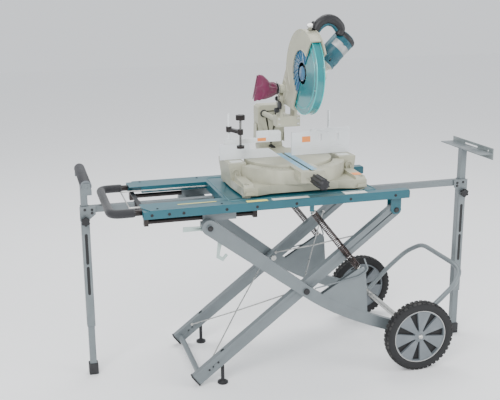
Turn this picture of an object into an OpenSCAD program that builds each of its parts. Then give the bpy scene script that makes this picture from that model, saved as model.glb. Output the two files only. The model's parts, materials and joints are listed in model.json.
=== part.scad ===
// Sliding mitre saw on a wheeled folding stand with two extending work supports.
// Millimetres. X runs along the table, left to right, Y from front to back, Z up.
// Everything is laid out in the stand's own frame: X = 0 at the table's left end, Y = 0 at the
// outer face of the front rail, Z = 0 on the floor. place() then centres the footprint.

/* [Stand table] */
// Length of the table
table_l = 1150; // [1100:5:1250]
// Width of the table over both rails
table_w = 520; // [500:5:600]
// Height of the table top above the floor
table_h = 812; // [790:2:840]
// Height of the side rails
rail_h = 36; // [32:1:44]
// Width of the side rails
rail_w = 40; // [34:1:46]
// Thickness of the top sheet
sheet_t = 4; // [2:0.5:6]

/* [Scissor and wheels] */
// Depth of a leg tube
leg_h = 52; // [40:1:60]
// Thickness of a leg tube
leg_w = 30; // [24:1:34]
// Thickness of a wheel arm
arm_w = 26; // [20:1:28]
// Length of each upper half of the scissor
half_l = 526; // [500:1:560]
// Radius of the pivot bolts
bolt_r = 8; // [6:0.5:10]
// Radius of a wheel
wheel_r = 159; // [140:1:170]
// Width of a wheel
wheel_w = 45; // [36:1:52]
// Radius of the axle
axle_r = 10; // [8:0.5:12]
// Radius of an adjuster pad
pad_r = 23; // [18:1:30]
// Free height of a foot adjuster above its pad
screw_l = 60; // [50:1:70]

/* [Work supports] */
// Size of a square extension tube
ext_s = 28; // [24:1:30]
// Distance of the left support post from the table's left end
reach_left = 210; // [180:5:400]
// Distance of the right support post from the table's right end
reach_right = 391; // [380:5:500]
// Size of the square outer post
post_s = 36; // [32:1:40]
// Wall of the posts
post_t = 3; // [2:0.5:4]
// Radius of the work roller
roller_r = 23; // [18:1:26]
// Length of the work roller
roller_l = 340; // [280:5:400]

/* [Saw] */
// Height of the saw's work surface above the table
base_h = 113; // [110:1:125]
// Distance of the blade plane from the table's left end
kerf_x = 706; // [680:1:730]
// Distance of the fence face from the table's front
fence_y = 320; // [300:1:330]
// Radius of the saw blade
blade_r = 152.5; // [150:0.5:153]
// Thickness of the saw blade
blade_t = 2.4; // [1.8:0.1:2.8]
// Radius of the turntable
table_r = 195; // [185:1:198]
// Height of the left upper fence above the work surface
fence_h = 120; // [90:1:121]
// Thickness of the fence plates
fence_t = 12; // [8:1:14]
// Radius of the slide rods
rod_r = 12; // [9:0.5:13]
// Radius of the motor housing
motor_r = 46; // [42:1:47]

/* [Hidden] */
$fn = 48;

run_gap = 0.06;          // radial clearance of a running fit
slip = 0.5;              // clearance of a loose sliding fit
body_gap = 1;            // clearance between pieces that move past each other

// ---- scissor geometry -------------------------------------------------------------------
pivot_drop = 93;                                   // table top down to the two upper pivots
leg_pivot = [table_l - 46, table_h - pivot_drop];
arm_pivot = [269, table_h - pivot_drop];
span = leg_pivot[0] - arm_pivot[0];
cross = [arm_pivot[0] + span / 2, leg_pivot[1] - sqrt(half_l * half_l - span * span / 4)];
fold_a = atan2(leg_pivot[1] - cross[1], span / 2); // angle of the scissor to the table
leg_end_z = 31;                                    // height of the leg tube's lower end
leg_l = (leg_pivot[1] - leg_end_z) / sin(fold_a);
axle_at = [leg_pivot[0] + 89, wheel_r];
arm_y = 2;                                         // outer face of an arm, in from the rail
leg_y = arm_y + arm_w + 4;                         // outer face of a leg
foot_on_leg = 148;                                 // foot adjuster, up along the leg from its end
foot_at = [leg_pivot[0] - (leg_l - foot_on_leg) * cos(fold_a),
    leg_pivot[1] - (leg_l - foot_on_leg) * sin(fold_a)];
wheel_y = -57;                                     // mid-plane of the front wheel
rail_z = table_h - rail_h;                         // underside of the rails
rod_z = rail_z - 22;                               // centre of the slide rails' rods
rod_y = 48;
rod_rail_r = 10;

// ---- work supports ----------------------------------------------------------------------
ext_z = rail_z - 1 - ext_s / 2;
ext_y = [table_w / 2 + 30, table_w / 2 - 12];      // centre lines of the left and right tubes
post_x = [-reach_left, table_l + reach_right];
work_z = table_h + base_h;
post_top = ext_z + ext_s / 2 + 2;                  // top of an outer post
inner_s = post_s - 2 * post_t - 2 * slip;          // size of the square tube inside a post

// ---- saw geometry -----------------------------------------------------------------------
pivot_v = 10;                                      // chop pivot behind the fence face
pivot_h = 260;                                     // chop pivot above the work surface
arbor_v = -235;
arbor_h = 392;
travel = 191;                                      // slide travel
post_v = pivot_v + 32 + travel + 2;                // front face of the bevel post
post_d = 70;
rod_h = 160;                                       // slide rods above the work surface
rod_u = 36;
case_r = blade_r + 25.5;
guard_r = blade_r + 14.5;
guard_w = 16.5;                                    // half width of the lower guard
case_w = 20;                                       // half width of the space in the blade case
spindle_r = 9;
gear_u = 30;                                       // where motor axis and spindle axis meet
gear_r = 34;                                       // outer radius of the spindle housing
motor_a = 45;                                      // slope of the motor axis
motor_s = [62, 190];                               // motor housing along its axis

// ---- footprint, for centring the part on the floor -------------------------------------
head_w = 30;
stop_t = 4;
low_x = post_x[0] - roller_r;
high_x = post_x[1] + post_s / 2 + head_w + stop_t;
nose_v = -330;                                     // front of the turntable's nose
grip_l = 100;                                      // length of the mitre knob
low_y = fence_y + nose_v - 26 - grip_l - 8;
high_y = fence_y + post_v + post_d + 40;
mid = [(low_x + high_x) / 2, (low_y + high_y) / 2];

// ---- shared shapes ----------------------------------------------------------------------
module place() translate([-mid[0], -mid[1], 0]) children();
module saw_frame() place() translate([kerf_x, fence_y, work_z]) children();
module head_frame() saw_frame() translate([0, arbor_v, arbor_h]) children();
module motor_frame() head_frame() translate([gear_u, 0, 0]) rotate([0, 90 - motor_a, 0]) children();
module box(a, b) translate(a) cube(b - a);
module rod_x(r, x0, x1, y, z) translate([x0, y, z]) rotate([0, 90, 0]) cylinder(r = r, h = x1 - x0);
module rod_along_y(r, x, y0, y1, z) translate([x, y0, z]) rotate([-90, 0, 0]) cylinder(r = r, h = y1 - y0);
module rod_up(r, x, y, z0, z1) translate([x, y, z0]) cylinder(r = r, h = z1 - z0);
// flat shape in the XZ plane made solid from y0 to y1
module slab_y(y0, y1) translate([0, y1, 0]) rotate([90, 0, 0]) linear_extrude(y1 - y0) children();
// flat shape in the YZ plane (first coordinate Y) made solid from x0 to x1
module slab_x(x0, x1) translate([x0, 0, 0]) rotate([90, 0, 90]) linear_extrude(x1 - x0) children();
module both_sides() {
    children();
    translate([0, table_w, 0]) mirror([0, 1, 0]) children();
}
// round bar between two points
module bar(a, b, r) {
    d = b - a;
    len = norm(d);
    translate(a) rotate([0, acos(d[2] / len), atan2(d[1], d[0])]) cylinder(r = r, h = len);
}
// round bar through a list of points, with ball corners
module bent_bar(pts, r) {
    for (i = [0:len(pts) - 2]) bar(pts[i], pts[i + 1], r);
    for (i = [1:len(pts) - 2]) translate(pts[i]) sphere(r = r * 1.03);
}
// sector of a circle in the plane, from angle a0 to a1
module sector(r, a0, a1) polygon(concat([[0, 0]],
    [for (i = [0:8]) let (a = a0 + (a1 - a0) * i / 8) 1.6 * r * [cos(a), sin(a)]]));
module ring_sector(r_in, r_out, a0, a1) difference() {
    intersection() {
        circle(r = r_out, $fn = 96);
        sector(r_out, a0, a1);
    }
    circle(r = r_in, $fn = 96);
}
// star knob with its axis along Z
module star_knob(r, h, lobes = 6) linear_extrude(h) difference() {
    circle(r = r);
    for (i = [0:lobes - 1]) rotate(i * 360 / lobes) translate([r * 1.12, 0]) circle(r = r * 0.32, $fn = 24);
}

// ---- stand ------------------------------------------------------------------------------
open_x = 350;                                      // right end of the table's left opening
open_y = [rail_w + 72, table_w - rail_w - 72];
sheet_end = table_l - 130;
corner_cut = 54;

module table_frame() place() color("teal") {
    both_sides() difference() {
        box([0, 0, rail_z], [table_l, rail_w, table_h - sheet_t]);
        box([-1, sheet_t, rail_z + sheet_t], [table_l + 1, rail_w - sheet_t, table_h - 2 * sheet_t]);
    }
    difference() {
        translate([0, 0, table_h - sheet_t]) linear_extrude(sheet_t) polygon([[corner_cut / 2, 0],
            [table_l, 0], [table_l, rail_w], [sheet_end, rail_w], [sheet_end, table_w - rail_w],
            [table_l, table_w - rail_w], [table_l, table_w], [corner_cut / 2, table_w],
            [0, table_w - corner_cut], [0, corner_cut]]);
        box([-1, open_y[0], table_h - 2 * sheet_t], [open_x, open_y[1], table_h + 1]);
        for (p = foot_pts)
            rod_up(foot_bolt_r, kerf_x + p[0], fence_y + p[1], table_h - 2 * sheet_t, table_h + 1);
    }
    for (x = [open_x + 2, sheet_end - 32])
        box([x, rail_w, rail_z], [x + 30, table_w - rail_w, table_h - sheet_t]);
    for (y = [open_y[0] - 20, open_y[1]])
        box([corner_cut, y, rail_z + 6], [open_x + 2, y + 20, table_h - sheet_t]);
    both_sides() box([spring_top[0] - 9, spring_y - 4, spring_top[1] - 4],
        [spring_top[0] + 9, spring_y + 4, rail_z]);
}

module leg_brackets() place() color("teal") both_sides() difference() {
    union() {
        for (y = [leg_y - 6, leg_y + leg_w + 1])
            slab_y(y, y + 5) polygon([[leg_pivot[0] - 25, rail_z], [leg_pivot[0] + 22, rail_z],
                [leg_pivot[0] + 22, leg_pivot[1] - 6], [leg_pivot[0] + 10, leg_pivot[1] - 18],
                [leg_pivot[0] - 12, leg_pivot[1] - 18], [leg_pivot[0] - 25, leg_pivot[1] - 4]]);
        box([leg_pivot[0] - 25, leg_y - 6, rail_z - 5], [leg_pivot[0] + 22, leg_y + leg_w + 6, rail_z]);
    }
    rod_along_y(bolt_r + run_gap, leg_pivot[0], 0, 100, leg_pivot[1]);
}

module slide_rails() place() color("dimgray") both_sides() {
    rod_x(rod_rail_r, 6, 480, rod_y, rod_z);
    for (x = [6, 462]) difference() {
        box([x, rod_y - 14, rod_z - 16], [x + 18, rod_y + 14, rail_z]);
        rod_x(rod_rail_r, x - 1, x + 19, rod_y, rod_z);
    }
}

handle_x = -125;
handle_r = 18;
handle_z = table_h - 17;
handle_y = 48;
handle_bend = 82;
grip_end = -34;
module carry_handle() place() color("dimgray") both_sides()
    rod_x(13, grip_end, 0, handle_y, handle_z);
module handle_grip() place() color("black") {
    both_sides() {
        rod_x(handle_r, handle_x + handle_bend, grip_end, handle_y, handle_z);
        translate([handle_x + handle_bend, handle_y + handle_bend, handle_z]) rotate([0, 0, 180])
            rotate_extrude(angle = 90) translate([handle_bend, 0]) circle(r = handle_r);
    }
    rod_along_y(handle_r, handle_x, handle_y + handle_bend, table_w - handle_y - handle_bend, handle_z);
}

// point at a distance along the leg from the upper pivot
function leg_point(s) = [leg_pivot[0] - s * cos(fold_a), leg_pivot[1] - s * sin(fold_a)];
leg_dir = [cos(fold_a), sin(fold_a)];
leg_nrm = [-sin(fold_a), cos(fold_a)];
module leg_outline(h) {
    a = leg_point(0);
    b = leg_point(leg_l);
    polygon([a + leg_nrm * h / 2, b + leg_nrm * h / 2, b - leg_nrm * h / 2, a - leg_nrm * h / 2]);
    translate(a) circle(r = h / 2);
}

module legs() place() color("silver") {
    both_sides() difference() {
        slab_y(leg_y, leg_y + leg_w) leg_outline(leg_h);
        difference() {
            slab_y(leg_y + 2.5, leg_y + leg_w - 2.5) leg_outline(leg_h - 5);
            for (s = [0, half_l, leg_l - foot_on_leg])
                rod_along_y(bolt_r + 7, leg_point(s)[0], 0, 100, leg_point(s)[1]);
        }
        rod_along_y(bolt_r + run_gap, leg_pivot[0], 0, 100, leg_pivot[1]);
        rod_along_y(bolt_r, cross[0], 0, 100, cross[1]);
        rod_up(8.2, foot_at[0], leg_y + leg_w / 2, 0, foot_at[1] + 60);
        for (s = [70, 92]) rod_along_y(4, leg_point(leg_l - s)[0], 0, 100, leg_point(leg_l - s)[1]);
    }
    rod_along_y(12.5, leg_point(leg_l - 22)[0], leg_y + leg_w, table_w - leg_y - leg_w,
        leg_point(leg_l - 22)[1]);
}

module leg_caps() place() color("black") both_sides() {
    b = leg_point(leg_l);
    slab_y(leg_y - 1.5, leg_y + leg_w + 1.5) polygon([b + leg_nrm * (leg_h / 2 + 1.5),
        b + leg_nrm * (leg_h / 2 + 1.5) - leg_dir * 7, b - leg_nrm * (leg_h / 2 + 1.5) - leg_dir * 7,
        b - leg_nrm * (leg_h / 2 + 1.5)]);
}

module foot() color("black") {
    cylinder(r = pad_r, h = 7);
    translate([0, 0, 7]) cylinder(r1 = pad_r - 3, r2 = 11, h = 8);
    translate([0, 0, 15]) cylinder(r = 7.8, h = foot_at[1] + 8 - 15);
}
module foot_front() place() translate([foot_at[0], leg_y + leg_w / 2, 0]) foot();
module foot_rear() place() translate([foot_at[0], table_w - leg_y - leg_w / 2, 0]) foot();

// lower part of a wheel arm: a curve from the scissor bolt to the axle
arm_bow = [cross[0] + 175, cross[1] - 138];
function bow(t) = (1 - t) * (1 - t) * cross + 2 * t * (1 - t) * arm_bow + t * t * axle_at;
function bow_dir(t) = let (d = 2 * (1 - t) * (arm_bow - cross) + 2 * t * (axle_at - arm_bow)) d / norm(d);
function side(p, d, w) = p + w * [-d[1], d[0]];
arm_dir = (cross - arm_pivot) / norm(cross - arm_pivot);
bow_n = 9;
module arm_outline() {
    polygon(concat([side(arm_pivot, arm_dir, 32)],
        [for (i = [0:bow_n]) side(bow(i / bow_n), bow_dir(i / bow_n), 25)],
        [for (i = [bow_n:-1:0]) side(bow(i / bow_n), bow_dir(i / bow_n), -25)],
        [side(arm_pivot, arm_dir, -32)]));
    translate(arm_pivot) circle(r = 32);
    translate(axle_at) circle(r = 27);
}
kick_side = [for (p = [[0, 0, 0], [120, 110, -14], [215, 190, -8], [262, 232, 40], [262, 245, 96]])
    [axle_at[0] + p[0], arm_y + arm_w / 2 + 14 + p[2], axle_at[1] + p[1]]];
spring_top = [712, rail_z - 24];
spring_low = [cross[0] + 253, cross[1] + 63];
spring_y = arm_y + arm_w / 2;
spring_r = 15;
hook_at = arm_pivot + arm_dir * 62 + [0, -4];
// welded bracket that carries a spring's lower end
module spring_plates() {
    base0 = bow(0.16);
    base1 = bow(0.62);
    difference() {
        for (y = [arm_y + 1, arm_y + arm_w - 5]) slab_y(y, y + 4) polygon([
            side(base0, bow_dir(0.16), 24), spring_low + [-14, 14], spring_low + [8, 20],
            spring_low + [20, 6], side(base1, bow_dir(0.62), 24), side(bow(0.4), bow_dir(0.4), 22)]);
        rod_along_y(4.5, spring_low[0], -5, 100, spring_low[1]);
    }
    rod_along_y(4.5, spring_low[0], arm_y + 1, arm_y + arm_w - 1, spring_low[1]);
}
module wheel_arms() place() color("silver") {
    both_sides() {
        difference() {
            slab_y(arm_y, arm_y + arm_w) arm_outline();
            rod_along_y(bolt_r + run_gap, arm_pivot[0], 0, 100, arm_pivot[1]);
            rod_along_y(bolt_r + run_gap, cross[0], 0, 100, cross[1]);
            rod_along_y(axle_r + 3, axle_at[0], -5, 100, axle_at[1]);
        }
        spring_plates();
    }
    rod_along_y(3, hook_at[0], arm_y + arm_w, arm_y + arm_w + 3.8, hook_at[1]);
}

module scissor_bolts() place() color("gray") both_sides() {
    rod_along_y(bolt_r, cross[0], arm_y - 1, leg_y + leg_w + 8, cross[1]);
    rod_along_y(bolt_r + 5, cross[0], arm_y - 9, arm_y - 1, cross[1]);
    rod_along_y(bolt_r + 5, cross[0], leg_y + leg_w, leg_y + leg_w + 8, cross[1]);
}

module coil_springs() place() color("black") both_sides() {
    d = (spring_low - spring_top) / norm(spring_low - spring_top);
    a = spring_top + d * 14;
    b = spring_low - d * 26;
    bar([a[0], spring_y, a[1]], [b[0], spring_y, b[1]], spring_r);
}

kick_r = 11;
module kick_bar() place() color("silver") {
    both_sides() difference() {
        union() {
            for (i = [0:3]) bar(kick_side[i], kick_side[i + 1], kick_r);
            for (i = [1:4]) translate(kick_side[i]) sphere(r = kick_r + 0.4);
        }
        rod_along_y(axle_r + 3, axle_at[0], -20, 80, axle_at[1]);
        rod_along_y(28, axle_at[0], -20, arm_y + arm_w, axle_at[1]);
    }
    rod_along_y(kick_r, kick_side[4][0], kick_side[4][1], table_w - kick_side[4][1], kick_side[4][2]);
}

module axle() place() color("gray") {
    rod_along_y(axle_r + 3, axle_at[0], arm_y - 4, table_w - arm_y + 4, axle_at[1]);
    both_sides() {
        rod_along_y(axle_r, axle_at[0], wheel_y - wheel_w / 2 + 2, arm_y - 4, axle_at[1]);
        rod_along_y(axle_r + 5, axle_at[0], wheel_y + wheel_w / 2 + 2, arm_y - 4, axle_at[1]);
    }
}

module wheel_frame(rear) place() translate([axle_at[0], rear ? table_w - wheel_y : wheel_y, axle_at[1]])
    rotate([90, 0, 0]) children();
rim_r = wheel_r - 39;
module tyre() color("black") rotate_extrude($fn = 96) polygon([[rim_r, -wheel_w / 2 + 5],
    [rim_r + 12, -wheel_w / 2], [wheel_r - 13, -wheel_w / 2], [wheel_r - 3, -wheel_w / 2 + 8],
    [wheel_r, -wheel_w / 2 + 15], [wheel_r, wheel_w / 2 - 15], [wheel_r - 3, wheel_w / 2 - 8],
    [wheel_r - 13, wheel_w / 2], [rim_r + 12, wheel_w / 2], [rim_r, wheel_w / 2 - 5]]);
spokes = 7;
module hub() color("darkgray") difference() {
    union() {
        difference() {
            translate([0, 0, -17]) cylinder(r = rim_r, h = 34, $fn = 96);
            for (s = [-1, 1]) translate([0, 0, s == 1 ? 5 : -18]) cylinder(r = rim_r - 7, h = 13, $fn = 96);
        }
        for (i = [0:spokes - 1]) rotate(i * 360 / spokes) translate([20, -6, -14]) cube([rim_r - 24, 12, 28]);
        translate([0, 0, -19]) cylinder(r = 27, h = 38);
    }
    translate([0, 0, -30]) cylinder(r = axle_r + run_gap, h = 60);
}
module tyre_front() wheel_frame(false) tyre();
module tyre_rear() wheel_frame(true) tyre();
module hub_front() wheel_frame(false) hub();
module hub_rear() wheel_frame(true) hub();

slider_x = [arm_pivot[0] - 22, arm_pivot[0] + 120];
module slider() place() color("gray") {
    both_sides() difference() {
        union() {
            box([slider_x[0], rod_y - 14, rod_z - 14], [slider_x[1], rod_y + 14, rod_z + 14]);
            box([arm_pivot[0] - 32, rod_y - 14, arm_pivot[1] - 20], [arm_pivot[0] + 20, rod_y - 6, rod_z - 14]);
            rod_along_y(bolt_r, arm_pivot[0], arm_y - 3, rod_y - 6, arm_pivot[1]);
            rod_along_y(bolt_r + 5, arm_pivot[0], arm_y - 10, arm_y - 1, arm_pivot[1]);
        }
        rod_x(rod_rail_r + run_gap, slider_x[0] - 1, slider_x[1] + 1, rod_y, rod_z);
    }
    rod_along_y(3, lever_at[0], lever_y - 1, rod_y - 14, lever_at[1]);
    difference() {
        box([arm_pivot[0] - 8, rod_y + 6, rod_z - 20], [arm_pivot[0] + 82, table_w - rod_y - 6, rod_z - 14]);
        for (i = [0:8], j = [0:1])
            rod_up(9, arm_pivot[0] + 18 + 38 * j, rod_y + 50 + i * (table_w - 2 * rod_y - 100) / 8,
                rod_z - 21, rod_z - 13);
    }
}

release_x = -40;                                   // left end of the release loop at rest
release_y = [125, 395];
module release_wire() place() color("silver") bent_bar([[open_x + 1, release_y[0], rail_z + 20],
    [release_x, release_y[0], rail_z + 20], [release_x, release_y[1], rail_z + 20],
    [open_x + 1, release_y[1], rail_z + 20]], 3);

lever_at = arm_pivot + [-21, -8];                   // pivot of the lock lever
lever_y = rod_y - 14 - 4.5;
module lock_lever() place() color("honeydew") difference() {
    slab_y(lever_y, lever_y + 4) {
        translate(lever_at) circle(r = 9);
        polygon([lever_at + [0, 9], lever_at + [-84, 12], lever_at + [-86, -9], lever_at + [0, -9]]);
    }
    rod_along_y(3 + run_gap, lever_at[0], 0, 100, lever_at[1]);
}

module release_hook() place() color("honeydew") difference() {
    slab_y(arm_y + arm_w + 0.5, arm_y + arm_w + 3.5) polygon([hook_at + [-10, 8], hook_at + [10, 8],
        hook_at + [6, -40], hook_at + [-4, -88], hook_at + [8, -98], hook_at + [24, -82],
        hook_at + [32, -92], hook_at + [10, -116], hook_at + [-18, -98], hook_at + [-12, -40]]);
    rod_along_y(3 + run_gap, hook_at[0], 0, 100, hook_at[1]);
}

module square_tube(a, b, wall) difference() {
    box(a, b);
    box([a[0] - 1, a[1] + wall, a[2] + wall], [b[0] + 1, b[1] - wall, b[2] - wall]);
}
module square_post(s, x, y, z0, z1, wall) difference() {
    box([x - s / 2, y - s / 2, z0], [x + s / 2, y + s / 2, z1]);
    box([x - s / 2 + wall, y - s / 2 + wall, z0 - 1], [x + s / 2 - wall, y + s / 2 - wall, z1 + 1]);
}
post_z = [230, 222];                               // lower ends of the outer posts
stub = [640, 440];                                 // inner ends of the extension tubes
module ext_left() place() color("silver") {
    square_tube([post_x[0] + post_s / 2, ext_y[0] - ext_s / 2, ext_z - ext_s / 2],
        [stub[0], ext_y[0] + ext_s / 2, ext_z + ext_s / 2], 2.5);
    square_post(post_s, post_x[0], ext_y[0], post_z[0], post_top, post_t);
}
module ext_right() place() color("silver") {
    square_tube([stub[1], ext_y[1] - ext_s / 2, ext_z - ext_s / 2],
        [post_x[1] - post_s / 2, ext_y[1] + ext_s / 2, ext_z + ext_s / 2], 2.5);
    square_post(post_s, post_x[1], ext_y[1], post_z[1], post_top, post_t);
}

module guide(x, y) difference() {
    box([x, y - ext_s / 2 - 5, ext_z - ext_s / 2 - 5], [x + 26, y + ext_s / 2 + 5, rail_z]);
    box([x - 1, y - ext_s / 2 - slip, ext_z - ext_s / 2 - slip],
        [x + 27, y + ext_s / 2 + slip, ext_z + ext_s / 2 + slip]);
}
module tube_guides() place() color("black") {
    guide(3, ext_y[0]);
    box([6, rail_w, rail_z], [24, table_w - rail_w, rail_z + 5]);
    guide(open_x + 4, ext_y[0]);
    guide(sheet_end - 30, ext_y[1]);
    box([830, ext_y[1] - ext_s / 2 - 5, rail_z], [856, ext_y[1] + ext_s / 2 + 5, table_h - sheet_t]);
    guide(830, ext_y[1]);
}

riser_low = 570;
module riser_left() place() color("silver") {
    x = post_x[0];
    top = work_z - 2 * roller_r - 8;
    square_post(inner_s, x, ext_y[0], riser_low, top, 2);
    box([x - 14, ext_y[0] - roller_l / 2 - 12, top], [x + 14, ext_y[0] + roller_l / 2 + 12, top + 4]);
    for (s = [-1, 1]) difference() {
        box([x - 14, ext_y[0] + s * (roller_l / 2 + 10) - 2, top + 4],
            [x + 14, ext_y[0] + s * (roller_l / 2 + 10) + 2, work_z - roller_r + 10]);
        rod_along_y(4 + run_gap, x, 0, table_w, work_z - roller_r);
    }
}
module roller() place() color("black") difference() {
    union() {
        rod_along_y(roller_r, post_x[0], ext_y[0] - roller_l / 2, ext_y[0] + roller_l / 2, work_z - roller_r);
        rod_along_y(4, post_x[0], ext_y[0] - roller_l / 2 - 13, ext_y[0] + roller_l / 2 + 13, work_z - roller_r);
    }
}

stop_l = 340;
module riser_right() place() color("silver") {
    square_post(inner_s, post_x[1], ext_y[1], riser_low, work_z - 4, 2);
    box([post_x[1] - post_s / 2, ext_y[1] - stop_l / 2, work_z - 4],
        [post_x[1] + post_s / 2 + head_w, ext_y[1] + stop_l / 2, work_z]);
}
module stop_head() place() color("silver") difference() {
    box([post_x[1] + post_s / 2 + head_w, ext_y[1] - stop_l / 2, work_z - 30],
        [post_x[1] + post_s / 2 + head_w + stop_t, ext_y[1] + stop_l / 2, work_z + 22]);
    rod_x(5, post_x[1], post_x[1] + 100, ext_y[1] - stop_l / 2 + 40, work_z + 6);
    for (y = [-40, 60]) rod_x(4, post_x[1], post_x[1] + 100, ext_y[1] + y, work_z + 6);
    box([post_x[1], ext_y[1] - 40, work_z + 2], [post_x[1] + 100, ext_y[1] + 60, work_z + 10]);
}

module lower_leg(x, y) {
    color("silver") square_post(inner_s, x, y, 34, 480, 2);
    color("black") difference() {
        box([x - 20, y - 20, 0], [x + 20, y + 20, 50]);
        box([x - inner_s / 2, y - inner_s / 2, 34], [x + inner_s / 2, y + inner_s / 2, 51]);
    }
}
module lower_leg_left() place() lower_leg(post_x[0], ext_y[0]);
module lower_leg_right() place() lower_leg(post_x[1], ext_y[1]);

// clamping knob on the front face of a post
module knob(x, y) place() color("black") translate([x, y - post_s / 2, ext_z - 46]) rotate([90, 0, 0]) {
    cylinder(r = 5, h = 12);
    translate([0, 0, 12]) star_knob(19, 14);
}
module knob_left() knob(post_x[0], ext_y[0]);
module knob_right() knob(post_x[1], ext_y[1]);

// ---- saw --------------------------------------------------------------------------------
wing_u = [215, 285];
wing_v = [-85, 97];
tray_top = -70;
foot_bolt_r = 4.5;
foot_pts = [[-255, -228], [255, -228], [-262, 70], [262, 70]];
module tray_outline() polygon([[-283, 100], [-285, -70], [-275, -252], [-215, -255], [-150, -235],
    [150, -235], [215, -255], [275, -252], [285, -70], [283, 100], [120, 112], [-120, 112]]);
module saw_base() saw_frame() color("wheat") difference() {
    union() {
        translate([0, 0, -base_h + 8]) linear_extrude(tray_top + base_h - 8) tray_outline();
        for (p = foot_pts) translate([p[0], p[1], -base_h]) cylinder(r = 20, h = 8);
        for (s = [-1, 1]) slab_y(wing_v[0], wing_v[1]) polygon([[s * wing_u[0], tray_top],
            [s * wing_u[1], tray_top], [s * (wing_u[1] + 8), -12], [s * (wing_u[1] + 8), 0],
            [s * wing_u[0], 0]]);
        for (s = [-1, 1]) slab_x(s == 1 ? 228 : -272, s == 1 ? 272 : -228) polygon([[-250, tray_top],
            [-85, tray_top], [-85, -52], [-235, -58]]);
        translate([0, 0, tray_top]) linear_extrude(-10 - tray_top) ring_sector(table_r + 8,
            table_r + 58, 200, 340);
        translate([0, 0, tray_top]) cylinder(r = 60, h = 28);
        rod_up(14, 0, 0, tray_top, -12);
    }
    translate([0, 0, -base_h - 1]) linear_extrude(tray_top + base_h - 7) scale(0.94) tray_outline();
    for (s = [-1, 1]) box([s == 1 ? wing_u[0] + 9 : -wing_u[1] + 7, wing_v[0] + 9, -base_h],
        [s == 1 ? wing_u[1] - 7 : -wing_u[0] - 9, wing_v[1] - 9, -12]);
    for (p = foot_pts) translate([p[0], p[1], -base_h - 1]) cylinder(r = foot_bolt_r, h = 90);
    for (p = foot_pts) translate([p[0], p[1], tray_top]) cylinder(r = 11, h = 40);
    rod_up(6.2, -wing_u[0] - 47, 80, -20, 2);
}

slot_v = [-312, 78];
tail_w = 55;
nose_w = 52;
module turntable() saw_frame() color("wheat") difference() {
    union() {
        translate([0, 0, -40]) cylinder(r = table_r, h = 40, $fn = 120);
        box([-nose_w, nose_v, -9 + body_gap], [nose_w, -150, 0]);
        box([-nose_w, nose_v, -46], [nose_w, -table_r - 60, 0]);
        box([-tail_w, 150, -40], [tail_w, post_v - body_gap, 0]);
        rod_along_y(44, 0, table_r, post_v - body_gap, 0);
    }
    difference() {
        translate([0, 0, -41]) cylinder(r = table_r - 8, h = 29, $fn = 120);
        cylinder(r = 30, h = 100, center = true);
        box([-38, -table_r, -41], [38, table_r, 0]);
    }
    box([-tail_w - 1, table_r - 5, 0], [tail_w + 1, post_v, 60]);
    translate([0, 0, -42]) cylinder(r = 14 + run_gap, h = 31);
    box([-6, slot_v[0], -60], [16, -20, 1]);
    box([-6, 20, -60], [16, slot_v[1], 1]);
    box([-6, -21, -10.9], [16, 21, 1]);
    box([-30, slot_v[0] + 20, -3], [34, slot_v[1] - 10, 1]);
    rod_along_y(10 + run_gap, 0, post_v - 40, post_v + 1, 0);
}
module kerf_boards() saw_frame() color("lightskyblue") for (u = [[-30, -4], [9, 34]])
    difference() {
        box([u[0], slot_v[0] + 20, -3], [u[1], slot_v[1] - 10, 0]);
        for (v = [-240, -120, 40]) rod_up(3, (u[0] + u[1]) / 2, v, -4, 1);
    }

module mitre_grip() saw_frame() color("dimgray") {
    rod_along_y(7, 0, nose_v - 26, nose_v - 0.2, -26);
    translate([0, nose_v - 26, -26]) rotate([90, 0, 0]) {
        star_knob(24, grip_l, 8);
        translate([0, 0, grip_l]) cylinder(r1 = 20, r2 = 12, h = 8);
    }
}

low_fence_h = 70;
module fence_fixed() saw_frame() color("gainsboro") {
    slab_y(0, fence_t) polygon([[-310, 0.5], [-30, 0.5], [-84, 40], [-172, 40],
        [-178, low_fence_h], [-310, low_fence_h]]);
    difference() {
        slab_y(0, fence_t) polygon([[22, 0.5], [300, 0.5], [300, 116], [116, 116], [110, 104], [22, 104]]);
        for (u = [150, 232]) box([u, -1, 60], [u + 14, fence_t + 1, 92]);
    }
    for (u = [-300, -225, 215, 285]) slab_x(u, u + 8) polygon([[fence_t, 0], [fence_t + 42, 0],
        [fence_t, 36]]);
    for (s = [-1, 1]) box([s == 1 ? 216 : -292, fence_t, 0], [s == 1 ? 292 : -216, fence_t + 44, 6]);
    rod_up(6, 228, 80, 0, 185);
    rod_up(11, 228, 80, 0, 16);
}

sub_u = [-290, -30];
vise_at = [-261, 25];
module sub_fence() saw_frame() color("white") {
    slab_y(0, fence_t) polygon([[sub_u[0], low_fence_h + 0.5], [sub_u[1], low_fence_h + 0.5],
        [sub_u[1], fence_h - 8], [sub_u[1] - 8, fence_h], [sub_u[1] - 111, fence_h],
        [sub_u[1] - 111, low_fence_h + 20], [sub_u[0], low_fence_h + 20]]);
    translate([sub_u[0], fence_t - 1, low_fence_h + 2]) cube([160, 7, 17]);
    rod_up(14, vise_at[0], vise_at[1] + 6, low_fence_h + 3, low_fence_h + 18);
    rod_up(6, vise_at[0], vise_at[1] + 6, low_fence_h + 10, 200);
}

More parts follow.
